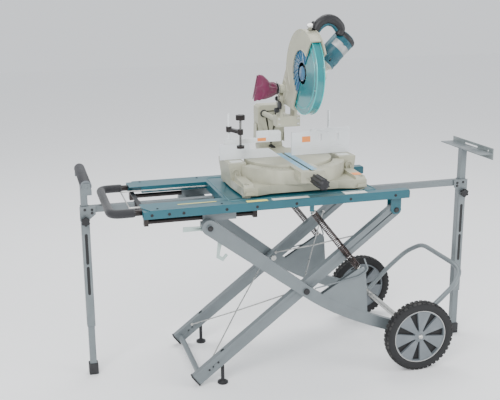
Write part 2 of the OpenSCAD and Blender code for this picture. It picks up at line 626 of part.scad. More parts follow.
vise_arm_h = 120;
screw_at = [-231, -52];
module vise_arm() saw_frame() color("dimgray") difference() {
    union() {
        rod_up(13, vise_at[0], vise_at[1] + 6, vise_arm_h, vise_arm_h + 24);
        rod_up(12, screw_at[0], screw_at[1], vise_arm_h, vise_arm_h + 24);
        translate([0, 0, vise_arm_h + 4]) linear_extrude(14) polygon([[vise_at[0] - 10, vise_at[1] + 2],
            [vise_at[0] + 10, vise_at[1] + 8], [screw_at[0] + 9, screw_at[1] + 4],
            [screw_at[0] - 9, screw_at[1] - 4]]);
    }
    rod_up(6 + run_gap, vise_at[0], vise_at[1] + 6, 0, 300);
    rod_up(5 + run_gap, screw_at[0], screw_at[1], 0, 300);
}
module vise_screw() saw_frame() color("black") {
    rod_up(5, screw_at[0], screw_at[1], 72, 190);
    rod_up(17, screw_at[0], screw_at[1], 60, 72);
    translate([screw_at[0], screw_at[1], 184]) star_knob(20, 22);
}

post_w = [-66, 72];
module bevel_post() saw_frame() color("wheat") difference() {
    union() {
        rod_along_y(58, 0, post_v, post_v + post_d, 0);
        slab_y(post_v, post_v + post_d) polygon([[-52, 0], [52, 0], [post_w[1], rod_h - 34],
            [post_w[1], rod_h + 30], [post_w[1] - 14, rod_h + 40], [post_w[0] + 14, rod_h + 40],
            [post_w[0], rod_h + 30], [post_w[0], rod_h - 34]]);
    }
    for (u = [-rod_u, rod_u]) rod_along_y(rod_r + run_gap, u, post_v - 1, post_v + post_d + 1, rod_h);
    rod_along_y(10 + run_gap, 0, post_v - 1, post_v + post_d + 1, 0);
    for (u = [-30, 0, 30]) box([u - 9, post_v + 12, 58], [u + 9, post_v + post_d + 1, rod_h - 40]);
}
module bevel_lever() saw_frame() color("dimgray") {
    rod_along_y(10, 0, post_v - 39, post_v + post_d + 6, 0);
    rod_along_y(17, 0, post_v + post_d + 0.5, post_v + post_d + 14, 0);
    bar([0, post_v + post_d + 8, 0], [38, post_v + post_d + 20, 74], 6);
    translate([38, post_v + post_d + 20, 74]) sphere(r = 11);
}

block_w = 54;
ear_u = [26, 40];
module slide_carriage() saw_frame() {
    color("wheat") difference() {
        union() {
            box([-block_w, pivot_v - 30, rod_h - 24], [block_w, pivot_v + 30, rod_h + 24]);
            for (s = [-1, 1]) slab_x(s == 1 ? ear_u[0] : -ear_u[1], s == 1 ? ear_u[1] : -ear_u[0]) {
                translate([pivot_v, pivot_h]) circle(r = 30);
                polygon([[pivot_v - 30, rod_h + 20], [pivot_v + 30, rod_h + 20], [pivot_v + 30, pivot_h],
                    [pivot_v - 30, pivot_h]]);
            }
        }
        for (u = [-rod_u, rod_u]) rod_along_y(rod_r, u, pivot_v - 20, pivot_v + 31, rod_h);
        rod_x(10, -60, 60, pivot_v, pivot_h);
    }
    color("silver") {
        for (u = [-rod_u, rod_u]) rod_along_y(rod_r, u, pivot_v - 20, post_v + post_d + 30, rod_h);
        box([-rod_u - 18, post_v + post_d + 30, rod_h - 16], [rod_u + 18, post_v + post_d + 40, rod_h + 16]);
    }
}
module pivot_pin() saw_frame() color("gray") {
    rod_x(10, -ear_u[1], ear_u[1], pivot_v, pivot_h);
    for (s = [-1, 1]) rod_x(15, s == 1 ? ear_u[1] : -ear_u[1] - 6, s == 1 ? ear_u[1] + 6 : -ear_u[1],
        pivot_v, pivot_h);
}

// ---- head: origin on the blade's axis ---------------------------------------------------
case_a = [-60, 130];
rel_pivot = [pivot_v - arbor_v, pivot_h - arbor_h];
boss_r = 30;
outlet = [215, -85];
bag_u = 46;
module blade_case() head_frame() color("wheat") {
    slab_x(-case_w, case_w) ring_sector(case_r - 6, case_r, case_a[0], case_a[1]);
    slab_x(-case_w - 6, -case_w) ring_sector(blade_r - 56, case_r, case_a[0], case_a[1]);
    difference() {
        slab_x(case_w, case_w + 6) ring_sector(0, case_r, case_a[0], case_a[1] + 20);
        rod_x(spindle_r + 8, case_w - 1, case_w + 7, 0, 0);
    }
    difference() {
        rod_x(boss_r, guard_w - 3, case_w + 6, 0, 0);
        rod_x(spindle_r + 8, guard_w - 4, case_w + 7, 0, 0);
    }
    difference() {
        slab_x(-ear_u[0] + 1, ear_u[0] - 1) {
            translate(rel_pivot) circle(r = 29);
            polygon([[168, 30], rel_pivot + [20, 22], rel_pivot + [-24, -17], [78, -162]]);
        }
        rod_x(case_r - 2, -60, 60, 0, 0);
        rod_x(10 + run_gap, -60, 60, rel_pivot[0], rel_pivot[1]);
    }
    // outlet collar for the dust bag
    difference() {
        rod_x(20, -bag_u, -ear_u[0] + 1, outlet[0], outlet[1]);
        rod_x(16, -bag_u - 1, -ear_u[0] - 4, outlet[0], outlet[1]);
    }
}

module gear_housing() {
    difference() {
        union() {
            head_frame() color("gainsboro") rod_x(gear_r, case_w + 6, 78, 0, 0);
            motor_frame() color("gainsboro") translate([0, 0, 40]) cylinder(r1 = gear_r - 6, r2 = motor_r, h = 22);
            motor_frame() color("gainsboro") translate([0, 0, 18]) cylinder(r = gear_r - 7, h = 23);
        }
        head_frame() rod_x(gear_r - 5, 42, 73, 0, 0);
        head_frame() rod_x(16, 25, 43, 0, 0);
        motor_frame() cylinder(r = 14, h = 60);
        motor_frame() translate([0, 0, 53]) cylinder(r = 36, h = 20);
        head_frame() slab_x(-60, case_w + 6) circle(r = 90);
    }
}

module centre_cover() head_frame() color("steelblue")
    slab_x(-case_w, -case_w + 2) ring_sector(46, blade_r - 40, case_a[0], case_a[1]);

guard_a = [110, 310];
module lower_guard() head_frame() color("darkcyan") difference() {
    union() {
        slab_x(-guard_w, guard_w) ring_sector(44, guard_r, guard_a[0], guard_a[1]);
        rod_x(46, guard_w - 2, guard_w, 0, 0);
    }
    rod_x(guard_r - 3, -guard_w + 2, guard_w - 2, 0, 0);
    rod_x(boss_r + run_gap, guard_w - 3, guard_w + 1, 0, 0);
}

teeth = 60;
module blade() head_frame() color("silver") slab_x(-blade_t / 2, blade_t / 2) difference() {
    polygon([for (i = [0:teeth - 1]) for (k = [0:2]) let (a = (i + [0, 0.25, 0.5][k]) * 360 / teeth,
        r = [blade_r, blade_r - 1, blade_r - 7][k]) r * [cos(a), sin(a)]]);
    circle(r = 12.7);
}
module spindle() head_frame() color("gray") {
    rod_x(spindle_r, 1, 70, 0, 0);
    rod_x(12.7, -blade_t / 2, blade_t / 2, 0, 0);
    rod_x(24, blade_t / 2, 8, 0, 0);
    rod_x(24, -8, -blade_t / 2, 0, 0);
    translate([-15, 0, 0]) rotate([0, 90, 0]) cylinder(r = 11, h = 7, $fn = 6);
    translate([gear_u + 20, 0, 0]) rotate([0, 90, 0]) cylinder(r1 = 20 * tan(36) - 0.5, r2 = 36 * tan(36) - 0.5, h = 16);
}
module bearings() color("gray") {
    head_frame() difference() {
        rod_x(16, 28, 41, 0, 0);
        rod_x(spindle_r + run_gap, 27, 42, 0, 0);
    }
    for (s = [[53, 61], [motor_s[1] - 10, motor_s[1] - 1]]) motor_frame() difference() {
        translate([0, 0, s[0]]) cylinder(r = s[0] < 100 ? 36 : 18, h = s[1] - s[0]);
        translate([0, 0, s[0] - 1]) cylinder(r = 7 + run_gap, h = 20);
    }
}
module motor_housing() {
    color("teal") motor_frame() difference() {
        translate([0, 0, motor_s[0]]) cylinder(r = motor_r, h = motor_s[1] - motor_s[0] + 6);
        translate([0, 0, motor_s[0] - 1]) cylinder(r = motor_r - 4, h = motor_s[1] - motor_s[0] - 10);
        translate([0, 0, motor_s[1] - 12]) cylinder(r = 18, h = 11);
        for (i = [0:7]) rotate(i * 45) translate([motor_r - 6, -3, motor_s[0] + 8]) cube([8, 6, 16]);
    }
    color("black") motor_frame() translate([0, 0, motor_s[1] + 6]) cylinder(r1 = motor_r - 2, r2 = motor_r - 12, h = 12);
    color("black") for (s = [-1, 1]) motor_frame() translate([0, s * (motor_r - 4.5), 168])
        rotate([-s * 90, 0, 0]) cylinder(r = 9, h = 8);
    // inlet for the mains lead, on the rear end
    color("black") motor_frame() translate([0, 20, motor_s[1] + 14]) difference() {
        cylinder(r = 9, h = 14);
        cylinder(r = 4.5, h = 20);
    }
}
module stator() motor_frame() color("dimgray") difference() {
    translate([0, 0, 82]) cylinder(r = motor_r - 4, h = 66);
    translate([0, 0, 81]) cylinder(r = 26, h = 70);
}
module armature() motor_frame() color("peru") {
    translate([0, 0, 25]) cylinder(r1 = 25 * tan(9) - 0.4, r2 = 44 * tan(9) - 0.4, h = 19);
    translate([0, 0, 44]) cylinder(r = 7, h = motor_s[1] - 46);
    translate([0, 0, 64]) cylinder(r = 32, h = 12);
    translate([0, 0, 84]) cylinder(r = 25, h = 62);
    translate([0, 0, 156]) cylinder(r = 15, h = 20);
}

grip_pts = [[26, case_r - 2], [44, 206], [76, 220], [112, 210], [138, 180], [130, 152]];
grip_r = 20;
handle_v = -26;
module handle() head_frame() color("black") difference() {
    union() {
        for (i = [0:4]) bar([grip_pts[i][0], handle_v, grip_pts[i][1]],
            [grip_pts[i + 1][0], handle_v, grip_pts[i + 1][1]], grip_r);
        for (i = [1:4]) translate([grip_pts[i][0], handle_v, grip_pts[i][1]]) sphere(r = grip_r + 0.4);
        bar([6, handle_v, case_r - 8], [26, handle_v, case_r + 6], 12);
    }
    rod_x(case_r, -60, 60, 0, 0);
    translate([gear_u, 0, 0]) rotate([0, 90 - motor_a, 0]) cylinder(r = motor_r, h = 300);
    box([84, handle_v - 6, 180], [110, handle_v + 6, 211]);
}
module trigger() head_frame() color("orangered")
    slab_y(handle_v - 5, handle_v + 5) polygon([[86, 188], [108, 187], [107, 206], [87, 208]]);

bag_ball = 14;
module dust_bag() head_frame() color("purple") translate([-bag_u - 56, outlet[0], outlet[1] - 2]) hull() {
    for (s = [-1, 1], t = [-1, 1], q = [-1, 1])
        translate([s * (56 - bag_ball), t * 50, q * 58]) sphere(r = bag_ball, $fn = 16);
}
module saw_bolts() saw_frame() color("gray") for (p = foot_pts) translate([p[0], p[1], 0]) {
    translate([0, 0, -base_h - sheet_t]) cylinder(r = foot_bolt_r, h = base_h + tray_top + sheet_t);
    translate([0, 0, tray_top]) cylinder(r = 8, h = 6, $fn = 6);
}

table_frame();
leg_brackets();
slide_rails();
carry_handle();
handle_grip();
legs();
leg_caps();
foot_front();
foot_rear();
wheel_arms();
scissor_bolts();
coil_springs();
kick_bar();
axle();
tyre_front();
hub_front();
tyre_rear();
hub_rear();
slider();
release_wire();
lock_lever();
release_hook();
ext_left();
ext_right();
tube_guides();
riser_left();
riser_right();
knob_left();
knob_right();
roller();
stop_head();
lower_leg_left();
lower_leg_right();
saw_base();
turntable();
kerf_boards();
mitre_grip();
fence_fixed();
sub_fence();
vise_arm();
vise_screw();
bevel_post();
bevel_lever();
slide_carriage();
pivot_pin();
blade_case();
gear_housing();
centre_cover();
lower_guard();
blade();
spindle();
bearings();
motor_housing();
stator();
armature();
handle();
trigger();
dust_bag();
saw_bolts();
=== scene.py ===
import bmesh
import bpy
import json
from math import sin, cos, pi, radians, atan2
from mathutils import Vector, Matrix


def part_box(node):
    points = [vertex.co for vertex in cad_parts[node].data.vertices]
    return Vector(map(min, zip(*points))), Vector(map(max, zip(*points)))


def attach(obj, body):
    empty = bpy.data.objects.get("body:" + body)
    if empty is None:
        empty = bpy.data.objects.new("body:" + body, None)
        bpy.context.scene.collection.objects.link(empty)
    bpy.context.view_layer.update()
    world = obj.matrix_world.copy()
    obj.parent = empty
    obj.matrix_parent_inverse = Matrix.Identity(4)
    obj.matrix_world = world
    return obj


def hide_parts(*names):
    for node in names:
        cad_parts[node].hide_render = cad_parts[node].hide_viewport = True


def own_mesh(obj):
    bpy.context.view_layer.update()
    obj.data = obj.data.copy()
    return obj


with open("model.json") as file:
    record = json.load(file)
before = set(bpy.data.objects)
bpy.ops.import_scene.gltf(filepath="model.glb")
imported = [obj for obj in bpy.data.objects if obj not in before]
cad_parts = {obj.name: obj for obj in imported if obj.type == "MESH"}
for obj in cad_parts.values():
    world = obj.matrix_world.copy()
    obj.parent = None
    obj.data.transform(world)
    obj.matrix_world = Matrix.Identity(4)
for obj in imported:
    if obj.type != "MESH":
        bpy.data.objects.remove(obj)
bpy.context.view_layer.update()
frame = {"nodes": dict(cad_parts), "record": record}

# ---- places ---------------------------------------------------------------------------------
# T: the stand's own frame in millimetres, X from the table's left end, Y from the front rail's
# face, Z from the floor. S: the saw's frame, from the blade plane, fence face and work surface.
# H: the head's frame, from the blade's centre.
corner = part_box("table_frame")[0]
table_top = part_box("table_frame")[1].z
blade_lo, blade_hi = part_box("blade")
arbor = (blade_lo + blade_hi) / 2
work_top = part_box("turntable")[1].z
fence_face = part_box("fence_fixed")[0].y


def T(x, y, z):
    return Vector((corner.x + x / 1000, corner.y + y / 1000, z / 1000))


def S(u, v, h):
    return Vector((arbor.x + u / 1000, fence_face + v / 1000, work_top + h / 1000))


def H(u, v, w):
    return arbor + Vector((u, v, w)) / 1000


# ---- mesh building --------------------------------------------------------------------------
class Kit:
    """Collects solids, in metres and in the row frame, into one piece."""

    def __init__(self):
        self.v, self.f = [], []

    def add(self, verts, faces):
        n = len(self.v)
        self.v += [tuple(p) for p in verts]
        self.f += [[i + n for i in f] for f in faces]
        return self

    def lathe(self, prof, at, axis, seg=32, turn=0.0):
        """Profile of (radius, height) in mm round an axis; radius 0 at an end closes it."""
        z = Vector(axis).normalized()
        x = z.orthogonal().normalized()
        y = z.cross(x)
        verts, rings = [], []
        for r, h in prof:
            c = Vector(at) + z * h / 1000
            if r == 0:
                rings.append([len(verts)])
                verts.append(c)
                continue
            rings.append(list(range(len(verts), len(verts) + seg)))
            for i in range(seg):
                a = turn + 2 * pi * i / seg
                verts.append(c + (x * cos(a) + y * sin(a)) * r / 1000)
        faces = []
        for a, b in zip(rings, rings[1:]):
            for i in range(seg):
                j = (i + 1) % seg
                if len(a) == 1 and len(b) > 1:
                    faces.append([a[0], b[j], b[i]])
                elif len(b) == 1 and len(a) > 1:
                    faces.append([a[i], a[j], b[0]])
                elif len(a) > 1:
                    faces.append([a[i], a[j], b[j], b[i]])
        return self.add(verts, faces)

    def ring(self, prof, at, axis, seg=64):
        """Closed profile of (radius, height) in mm, turned into a ring."""
        return self.lathe(list(prof) + [prof[0]], at, axis, seg)

    def tube(self, pts, r, seg=14, closed=False, radii=None, squash=1.0):
        """Round tube, radius in mm, through points in metres, with rounded ends."""
        pts = [Vector(p) for p in pts]
        n = len(pts)
        tan = []
        for i in range(n):
            a = pts[(i - 1) % n] if (closed or i) else pts[0]
            b = pts[(i + 1) % n] if (closed or i < n - 1) else pts[-1]
            tan.append((b - a).normalized())
        x = tan[0].orthogonal().normalized()
        rings = []
        for i in range(n):
            x = (x - tan[i] * x.dot(tan[i])).normalized()
            y = tan[i].cross(x)
            rr = (radii[i] if radii else r) / 1000
            rings.append([pts[i] + (x * cos(2 * pi * k / seg) + y * sin(2 * pi * k / seg) * squash) * rr
                          for k in range(seg)])
        if not closed:
            for end, nxt in ((0, 1), (-1, -2)):
                d = (pts[end] - pts[nxt]).normalized()
                c, base = pts[end], rings[end]
                lip = [c + (p - c) * 0.72 + d * (r * 0.28 / 1000) for p in base]
                if end == 0:
                    rings.insert(0, lip)
                else:
                    rings.append(lip)
        verts = [p for ring in rings for p in ring]
        m = len(rings)
        faces = []
        for i in range(m if closed else m - 1):
            for k in range(seg):
                a, b = i * seg + k, i * seg + (k + 1) % seg
                c, d = ((i + 1) % m) * seg + (k + 1) % seg, ((i + 1) % m) * seg + k
                faces.append([a, b, c, d])
        if not closed:
            faces.append(list(range(seg))[::-1])
            faces.append([(m - 1) * seg + k for k in range(seg)])
        return self.add(verts, faces)

    def prism(self, outline, at, ex, ey, ez, t):
        """Outline of (a, b) mm along ex and ey, made solid t mm along ez."""
        at, ex, ey, ez = (Vector(q) for q in (at, ex, ey, ez))
        low = [at + (ex * a + ey * b) / 1000 for a, b in outline]
        high = [p + ez * t / 1000 for p in low]
        n = len(outline)
        faces = [list(range(n))[::-1], [n + i for i in range(n)]]
        faces += [[i, (i + 1) % n, n + (i + 1) % n, n + i] for i in range(n)]
        return self.add(low + high, faces)

    def box(self, lo, hi):
        s = (Vector(hi) - Vector(lo)) * 1000
        return self.prism([(0, 0), (s.x, 0), (s.x, s.y), (0, s.y)], lo,
                          (1, 0, 0), (0, 1, 0), (0, 0, 1), s.z)

    def bolt(self, at, axis, r, h=5, washer=True):
        """Hexagon head on a washer, axis pointing out of the surface."""
        if washer:
            self.lathe([(0, 0), (r * 1.45, 0), (r * 1.5, 0.8), (r * 1.4, 1.6), (0, 1.6)], at, axis, 28)
        return self.lathe([(0, 1), (r * 1.1, 1), (r * 1.12, h - 1), (r * 0.98, h), (0, h)], at, axis, 6)

    def screw(self, at, axis, r, h=2.2):
        """Domed screw with a sunk hexagon socket."""
        self.lathe([(r * 0.42, h * 0.45), (r * 0.42, h), (r * 0.7, h * 0.95), (r * 0.95, h * 0.5),
                    (r, -0.4)], at, axis, 24)
        return self.lathe([(0, h * 0.45), (r * 0.42, h * 0.45)][::-1], at, axis, 24)

    def done(self, name, body, mat, bevel=0.0, slot=None, replaces=(), angle=38, seg=2):
        mesh = bpy.data.meshes.new(name)
        mesh.from_pydata(self.v, [], self.f)
        mesh.validate()
        mesh.update()
        obj = bpy.data.objects.new(name, mesh)
        bpy.context.scene.collection.objects.link(obj)
        bm = bmesh.new()
        bm.from_mesh(mesh)
        bmesh.ops.remove_doubles(bm, verts=bm.verts, dist=1e-6)
        bmesh.ops.recalc_face_normals(bm, faces=bm.faces)
        bm.to_mesh(mesh)
        bm.free()
        mesh.materials.append(mat)
        shade(obj, angle)
        if bevel:
            add_bevel(obj, bevel, seg)
        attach(obj, body)
        if replaces:
            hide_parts(*replaces)
        return obj


def shade(obj, angle=38):
    obj.data.polygons.foreach_set("use_smooth", [True] * len(obj.data.polygons))
    obj.data.set_sharp_from_angle(angle=radians(angle))


def add_bevel(obj, width, segments=2, weld=False):
    if weld:
        m = obj.modifiers.new("weld", "WELD")
        m.merge_threshold = 2e-5
    m = obj.modifiers.new("edge", "BEVEL")
    m.width = width / 1000
    m.segments = segments
    m.limit_method = "ANGLE"
    m.angle_limit = radians(40)
    m.harden_normals = True


def rounded(pts, radius, n=7):
    """Points of a polyline in metres with its corners rounded, radius in mm."""
    out = [Vector(pts[0])]
    for a, p, b in zip(pts, pts[1:], pts[2:]):
        a, p, b = Vector(a), Vector(p), Vector(b)
        d1, d2 = (a - p), (b - p)
        cut = min(radius / 1000, d1.length * 0.48, d2.length * 0.48)
        s, e = p + d1.normalized() * cut, p + d2.normalized() * cut
        for i in range(n + 1):
            t = i / n
            out.append(s * (1 - t) ** 2 + p * 2 * t * (1 - t) + e * t * t)
    out.append(Vector(pts[-1]))
    return out


def arc(r, a0, a1, n):
    """Points (a, b) in mm on a circle between two angles in degrees."""
    return [(r * cos(radians(a0 + (a1 - a0) * i / n)), r * sin(radians(a0 + (a1 - a0) * i / n)))
            for i in range(n + 1)]


# ---- materials ------------------------------------------------------------------------------
def material(name, rgb, rough=0.45, metal=0.0, mottle=0.07, scale=22, grain=900, bump=0.12,
             wear=None, wear_at=0.56, coat=0.0, sheen=0.0, glass=0.0, stretch=(1, 1, 1), rough_var=0.12):
    m = bpy.data.materials.new(name)
    m.use_nodes = True
    t = m.node_tree
    n, link = t.nodes, t.links.new
    b = n["Principled BSDF"]
    tc = n.new("ShaderNodeTexCoord")
    mp = n.new("ShaderNodeMapping")
    mp.inputs["Scale"].default_value = stretch
    link(tc.outputs["Object"], mp.inputs["Vector"])

    def noise(size, detail):
        q = n.new("ShaderNodeTexNoise")
        q.inputs["Scale"].default_value = size
        q.inputs["Detail"].default_value = detail
        link(mp.outputs["Vector"], q.inputs["Vector"])
        return q.outputs["Fac"]

    def mix(fac, a, c):
        q = n.new("ShaderNodeMix")
        q.data_type = "RGBA"
        link(fac, q.inputs["Factor"])
        for sock, val in (("A", a), ("B", c)):
            sock = [i for i in q.inputs if i.name == sock and i.type == "RGBA"][0]
            if isinstance(val, bpy.types.NodeSocket):
                link(val, sock)
            else:
                sock.default_value = (*val, 1)
        return [o for o in q.outputs if o.type == "RGBA"][0]

    def remap(src, a, c, lo, hi):
        q = n.new("ShaderNodeMapRange")
        for k, v in zip(("From Min", "From Max", "To Min", "To Max"), (a, c, lo, hi)):
            q.inputs[k].default_value = v
        link(src, q.inputs["Value"])
        return q.outputs["Result"]

    broad = noise(scale, 5)
    fine = noise(grain, 3)
    dark = tuple(c * (1 - mottle) for c in rgb)
    light = tuple(min(1, c * (1 + mottle)) for c in rgb)
    colour = mix(remap(broad, 0.3, 0.7, 0, 1), dark, light)
    if wear:
        geo = n.new("ShaderNodeNewGeometry")
        edge = remap(geo.outputs["Pointiness"], wear_at, wear_at + 0.08, 0, 0.75)
        mul = n.new("ShaderNodeMath")
        mul.operation = "MULTIPLY"
        link(edge, mul.inputs[0])
        link(remap(broad, 0.42, 0.62, 0, 1), mul.inputs[1])
        colour = mix(mul.outputs[0], colour, wear)
    link(colour, b.inputs["Base Color"])
    link(remap(broad, 0.3, 0.7, max(0.03, rough - rough_var / 2), rough + rough_var / 2),
         b.inputs["Roughness"])
    bp = n.new("ShaderNodeBump")
    bp.inputs["Strength"].default_value = bump
    bp.inputs["Distance"].default_value = 0.0006
    link(fine, bp.inputs["Height"])
    link(bp.outputs["Normal"], b.inputs["Normal"])
    b.inputs["Metallic"].default_value = metal
    b.inputs["Coat Weight"].default_value = coat
    b.inputs["Coat Roughness"].default_value = 0.15
    b.inputs["Sheen Weight"].default_value = sheen
    b.inputs["Transmission Weight"].default_value = glass
    return m


def woven(name, rgb, thread=1.4):
    """Cloth: two crossed sets of threads as bump and shade."""
    m = material(name, rgb, rough=0.85, mottle=0.16, scale=30, grain=500, bump=0.2, sheen=0.35)
    t = m.node_tree
    n, link = t.nodes, t.links.new
    b = n["Principled BSDF"]
    tc = n["Texture Coordinate"]
    waves = []
    for axis in ("Y", "Z"):
        w = n.new("ShaderNodeTexWave")
        w.bands_direction = axis
        w.inputs["Scale"].default_value = 1000 / thread / 6.28
        w.inputs["Distortion"].default_value = 1.2
        w.inputs["Detail Scale"].default_value = 2
        link(tc.outputs["Object"], w.inputs["Vector"])
        waves.append(w.outputs["Fac"])
    mx = n.new("ShaderNodeMath")
    mx.operation = "MAXIMUM"
    link(waves[0], mx.inputs[0])
    link(waves[1], mx.inputs[1])
    bp = n.new("ShaderNodeBump")
    bp.inputs["Strength"].default_value = 0.5
    bp.inputs["Distance"].default_value = 0.0008
    link(mx.outputs[0], bp.inputs["Height"])
    link(n["Bump"].outputs["Normal"], bp.inputs["Normal"])
    link(bp.outputs["Normal"], b.inputs["Normal"])
    return m


M = {
    "teal_steel": material("teal_steel", (0.005, 0.088, 0.118), 0.36, 0.0, 0.10, 9, 1200, 0.10,
                           (0.12, 0.30, 0.32), coat=0.25),
    "dark_steel": material("dark_steel", (0.018, 0.013, 0.012), 0.34, 0.35, 0.2, 30, 900, 0.1,
                           (0.2, 0.17, 0.15)),
    "foam": material("foam", (0.014, 0.014, 0.017), 0.72, 0.0, 0.2, 60, 700, 0.55, sheen=0.2),
    "grey_tube": material("grey_tube", (0.17, 0.195, 0.205), 0.38, 0.35, 0.07, 12, 1300, 0.08,
                           (0.6, 0.62, 0.62)),
    "black_plastic": material("black_plastic", (0.010, 0.010, 0.012), 0.5, 0.0, 0.15, 40, 1500, 0.3,
                              (0.09, 0.09, 0.09)),
    "zinc": material("zinc", (0.55, 0.55, 0.53), 0.3, 0.95, 0.1, 60, 1500, 0.12),
    "spring_steel": material("spring_steel", (0.022, 0.014, 0.013), 0.32, 0.5, 0.2, 50, 900, 0.1,
                             (0.25, 0.18, 0.16)),
    "tyre": material("tyre", (0.013, 0.013, 0.014), 0.78, 0.0, 0.25, 26, 900, 0.5, (0.06, 0.058, 0.055)),
    "hub_grey": material("hub_grey", (0.15, 0.17, 0.185), 0.42, 0.1, 0.08, 24, 1500, 0.2, (0.42, 0.43, 0.44)),
    "mint_steel": material("mint_steel", (0.42, 0.52, 0.49), 0.42, 0.1, 0.07, 30, 1300, 0.1, (0.72, 0.76, 0.75)),
    "roller_rubber": material("roller_rubber", (0.022, 0.022, 0.026), 0.6, 0, 0.2, 50, 900, 0.4),
    "cream_cast": material("cream_cast", (0.41, 0.405, 0.31), 0.46, 0.15, 0.09, 16, 420, 0.5,
                           (0.68, 0.67, 0.60)),
    "board": material("board", (0.20, 0.42, 0.58), 0.45, 0, 0.08, 40, 1200, 0.2),
    "fence_alloy": material("fence_alloy", (0.80, 0.83, 0.85), 0.32, 0.25, 0.05, 18, 900, 0.12,
                            stretch=(0.25, 1, 1)),
    "white_alloy": material("white_alloy", (0.80, 0.83, 0.84), 0.4, 0.05, 0.05, 20, 900, 0.15,
                            (0.62, 0.62, 0.6)),
    "gear_alloy": material("gear_alloy", (0.52, 0.52, 0.46), 0.42, 0.5, 0.1, 24, 500, 0.45, (0.7, 0.7, 0.68)),
    "blue_cover": material("blue_cover", (0.012, 0.10, 0.20), 0.22, 0.0, 0.1, 24, 1200, 0.06,
                           (0.1, 0.25, 0.35), coat=0.6),
    "guard_teal": material("guard_teal", (0.010, 0.33, 0.36), 0.2, 0.0, 0.12, 14, 900, 0.05, coat=0.6,
                           glass=0.45),
    "blade_steel": material("blade_steel", (0.55, 0.56, 0.56), 0.26, 1.0, 0.12, 30, 700, 0.15),
    "teal_plastic": material("teal_plastic", (0.003, 0.075, 0.105), 0.4, 0.0, 0.1, 26, 1400, 0.3,
                             (0.06, 0.22, 0.26)),
    "copper": material("copper", (0.55, 0.24, 0.10), 0.35, 0.9, 0.2, 80, 900, 0.4),
    "trigger_plastic": material("trigger_plastic", (0.03, 0.03, 0.032), 0.4, 0, 0.1, 60, 1500, 0.2),
    "stop_plate": material("stop_plate", (0.24, 0.27, 0.27), 0.4, 0.4, 0.1, 20, 1000, 0.1, (0.5, 0.5, 0.5)),
    "bag_cloth": woven("bag_cloth", (0.135, 0.010, 0.050)),
}
label_orange = material("label_orange", (0.90, 0.28, 0.06), 0.4, 0, 0.04, 30, 900, 0.05)
label_pale = material("label_pale", (0.72, 0.74, 0.70), 0.45, 0, 0.06, 30, 900, 0.05)
label_yellow = material("label_yellow", (0.80, 0.70, 0.16), 0.45, 0, 0.05, 30, 900, 0.05)
# Near-black: painted shade where it stands in for holes, slots, vents and the hub's recesses; printed ink where
# it draws the mitre and bevel scales.
painted_shade_and_print = material("painted_shade_and_print", (0.008, 0.008, 0.009), 0.6, 0, 0.2, 80, 900, 0.2)

# ---- CAD nodes: finish, rounded edges -------------------------------------------------------
slot_of = {s["node"]: s["material_slot"] for s in frame["record"]["subparts"]}
round_edge = {"table_frame": 1.6, "legs": 3, "wheel_arms": 3, "saw_base": 2.5, "turntable": 2, "blade_case": 2.5,
              "fence_fixed": 1, "sub_fence": 1, "bevel_post": 4, "slide_carriage": 2.5, "gear_housing": 2,
              "motor_housing": 2, "ext_left": 2, "ext_right": 2, "mitre_grip": 2.5, "vise_arm": 2,
              "blade": 0, "dust_bag": 0, "kerf_boards": 0.4, "release_hook": 0.6, "lock_lever": 0.8}
for node, obj in frame["nodes"].items():
    obj.data.materials.clear()
    obj.data.materials.append(M[slot_of[node]])
    width = round_edge.get(node, 1.0)
    if width:
        add_bevel(obj, width, 2, weld=True)

X, Y, Z = Vector((1, 0, 0)), Vector((0, 1, 0)), Vector((0, 0, 1))
table_w = (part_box("table_frame")[1].y - corner.y) * 1000
table_l = (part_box("table_frame")[1].x - corner.x) * 1000
top_mm = table_top * 1000


def sides(fn):
    """Runs fn(y, s) for the front and back halves: y turns a front-side Y into either side's."""
    fn(lambda y: y, -1)
    fn(lambda y: table_w - y, 1)


# ---- table ----------------------------------------------------------------------------------
k, holes = Kit(), Kit()


def rail_details(y, s):
    for x in (34, 104, 163, 341, 1085):
        k.screw(T(x, y(0), top_mm - 20), (0, s, 0), 6.5)
    for x in (470, 640, 880):
        # Dark discs on the rail faces: painted shade standing in for the insides of open holes.
        holes.lathe([(0, 0.3), (6, 0.3), (6.6, -0.2)], T(x, y(0), top_mm - 20), (0, s, 0), 24)


sides(rail_details)
for x in (60, 326):
    for y in (24, table_w - 24):
        k.screw(T(x, y, top_mm), Z, 5)
k.done("table_screws", "table", M["black_plastic"])
holes.done("rail_holes", "table", painted_shade_and_print)

k = Kit()
for x0, x1, y in ((372, 1010, 47), (372, 1010, table_w - 47)):
    k.tube([T(x0, y, top_mm + 0.2), T(x1, y, top_mm + 0.2)], 2.2, 10)
for x in (366, 1014):
    k.tube([T(x, 52, top_mm + 0.2), T(x, table_w - 52, top_mm + 0.2)], 2.2, 10)
k.done("pressed_beads", "table", M["teal_steel"])
k = Kit().box(T(150, 60, top_mm), T(312, 66, top_mm + 0.5))
k.box(T(430, 10, top_mm), T(520, 34, top_mm + 0.4))
k.done("table_labels", "table", label_yellow)
k = Kit().box(T(540, 8, top_mm), T(700, 36, top_mm + 0.4))
k.box(T(860, 10, top_mm), T(960, 60, top_mm + 0.4))
k.done("table_plates", "table", label_pale)


def end_cap(y, s):
    end_caps.prism([(0, 0), (36, 0), (36, 30), (0, 30)], T(table_l - 0.5, min(y(2), y(38)), top_mm - 34),
                   Y, Z, X, 3)


end_caps = Kit()
sides(end_cap)
end_caps.done("rail_end_caps", "table", M["black_plastic"], 0.8)

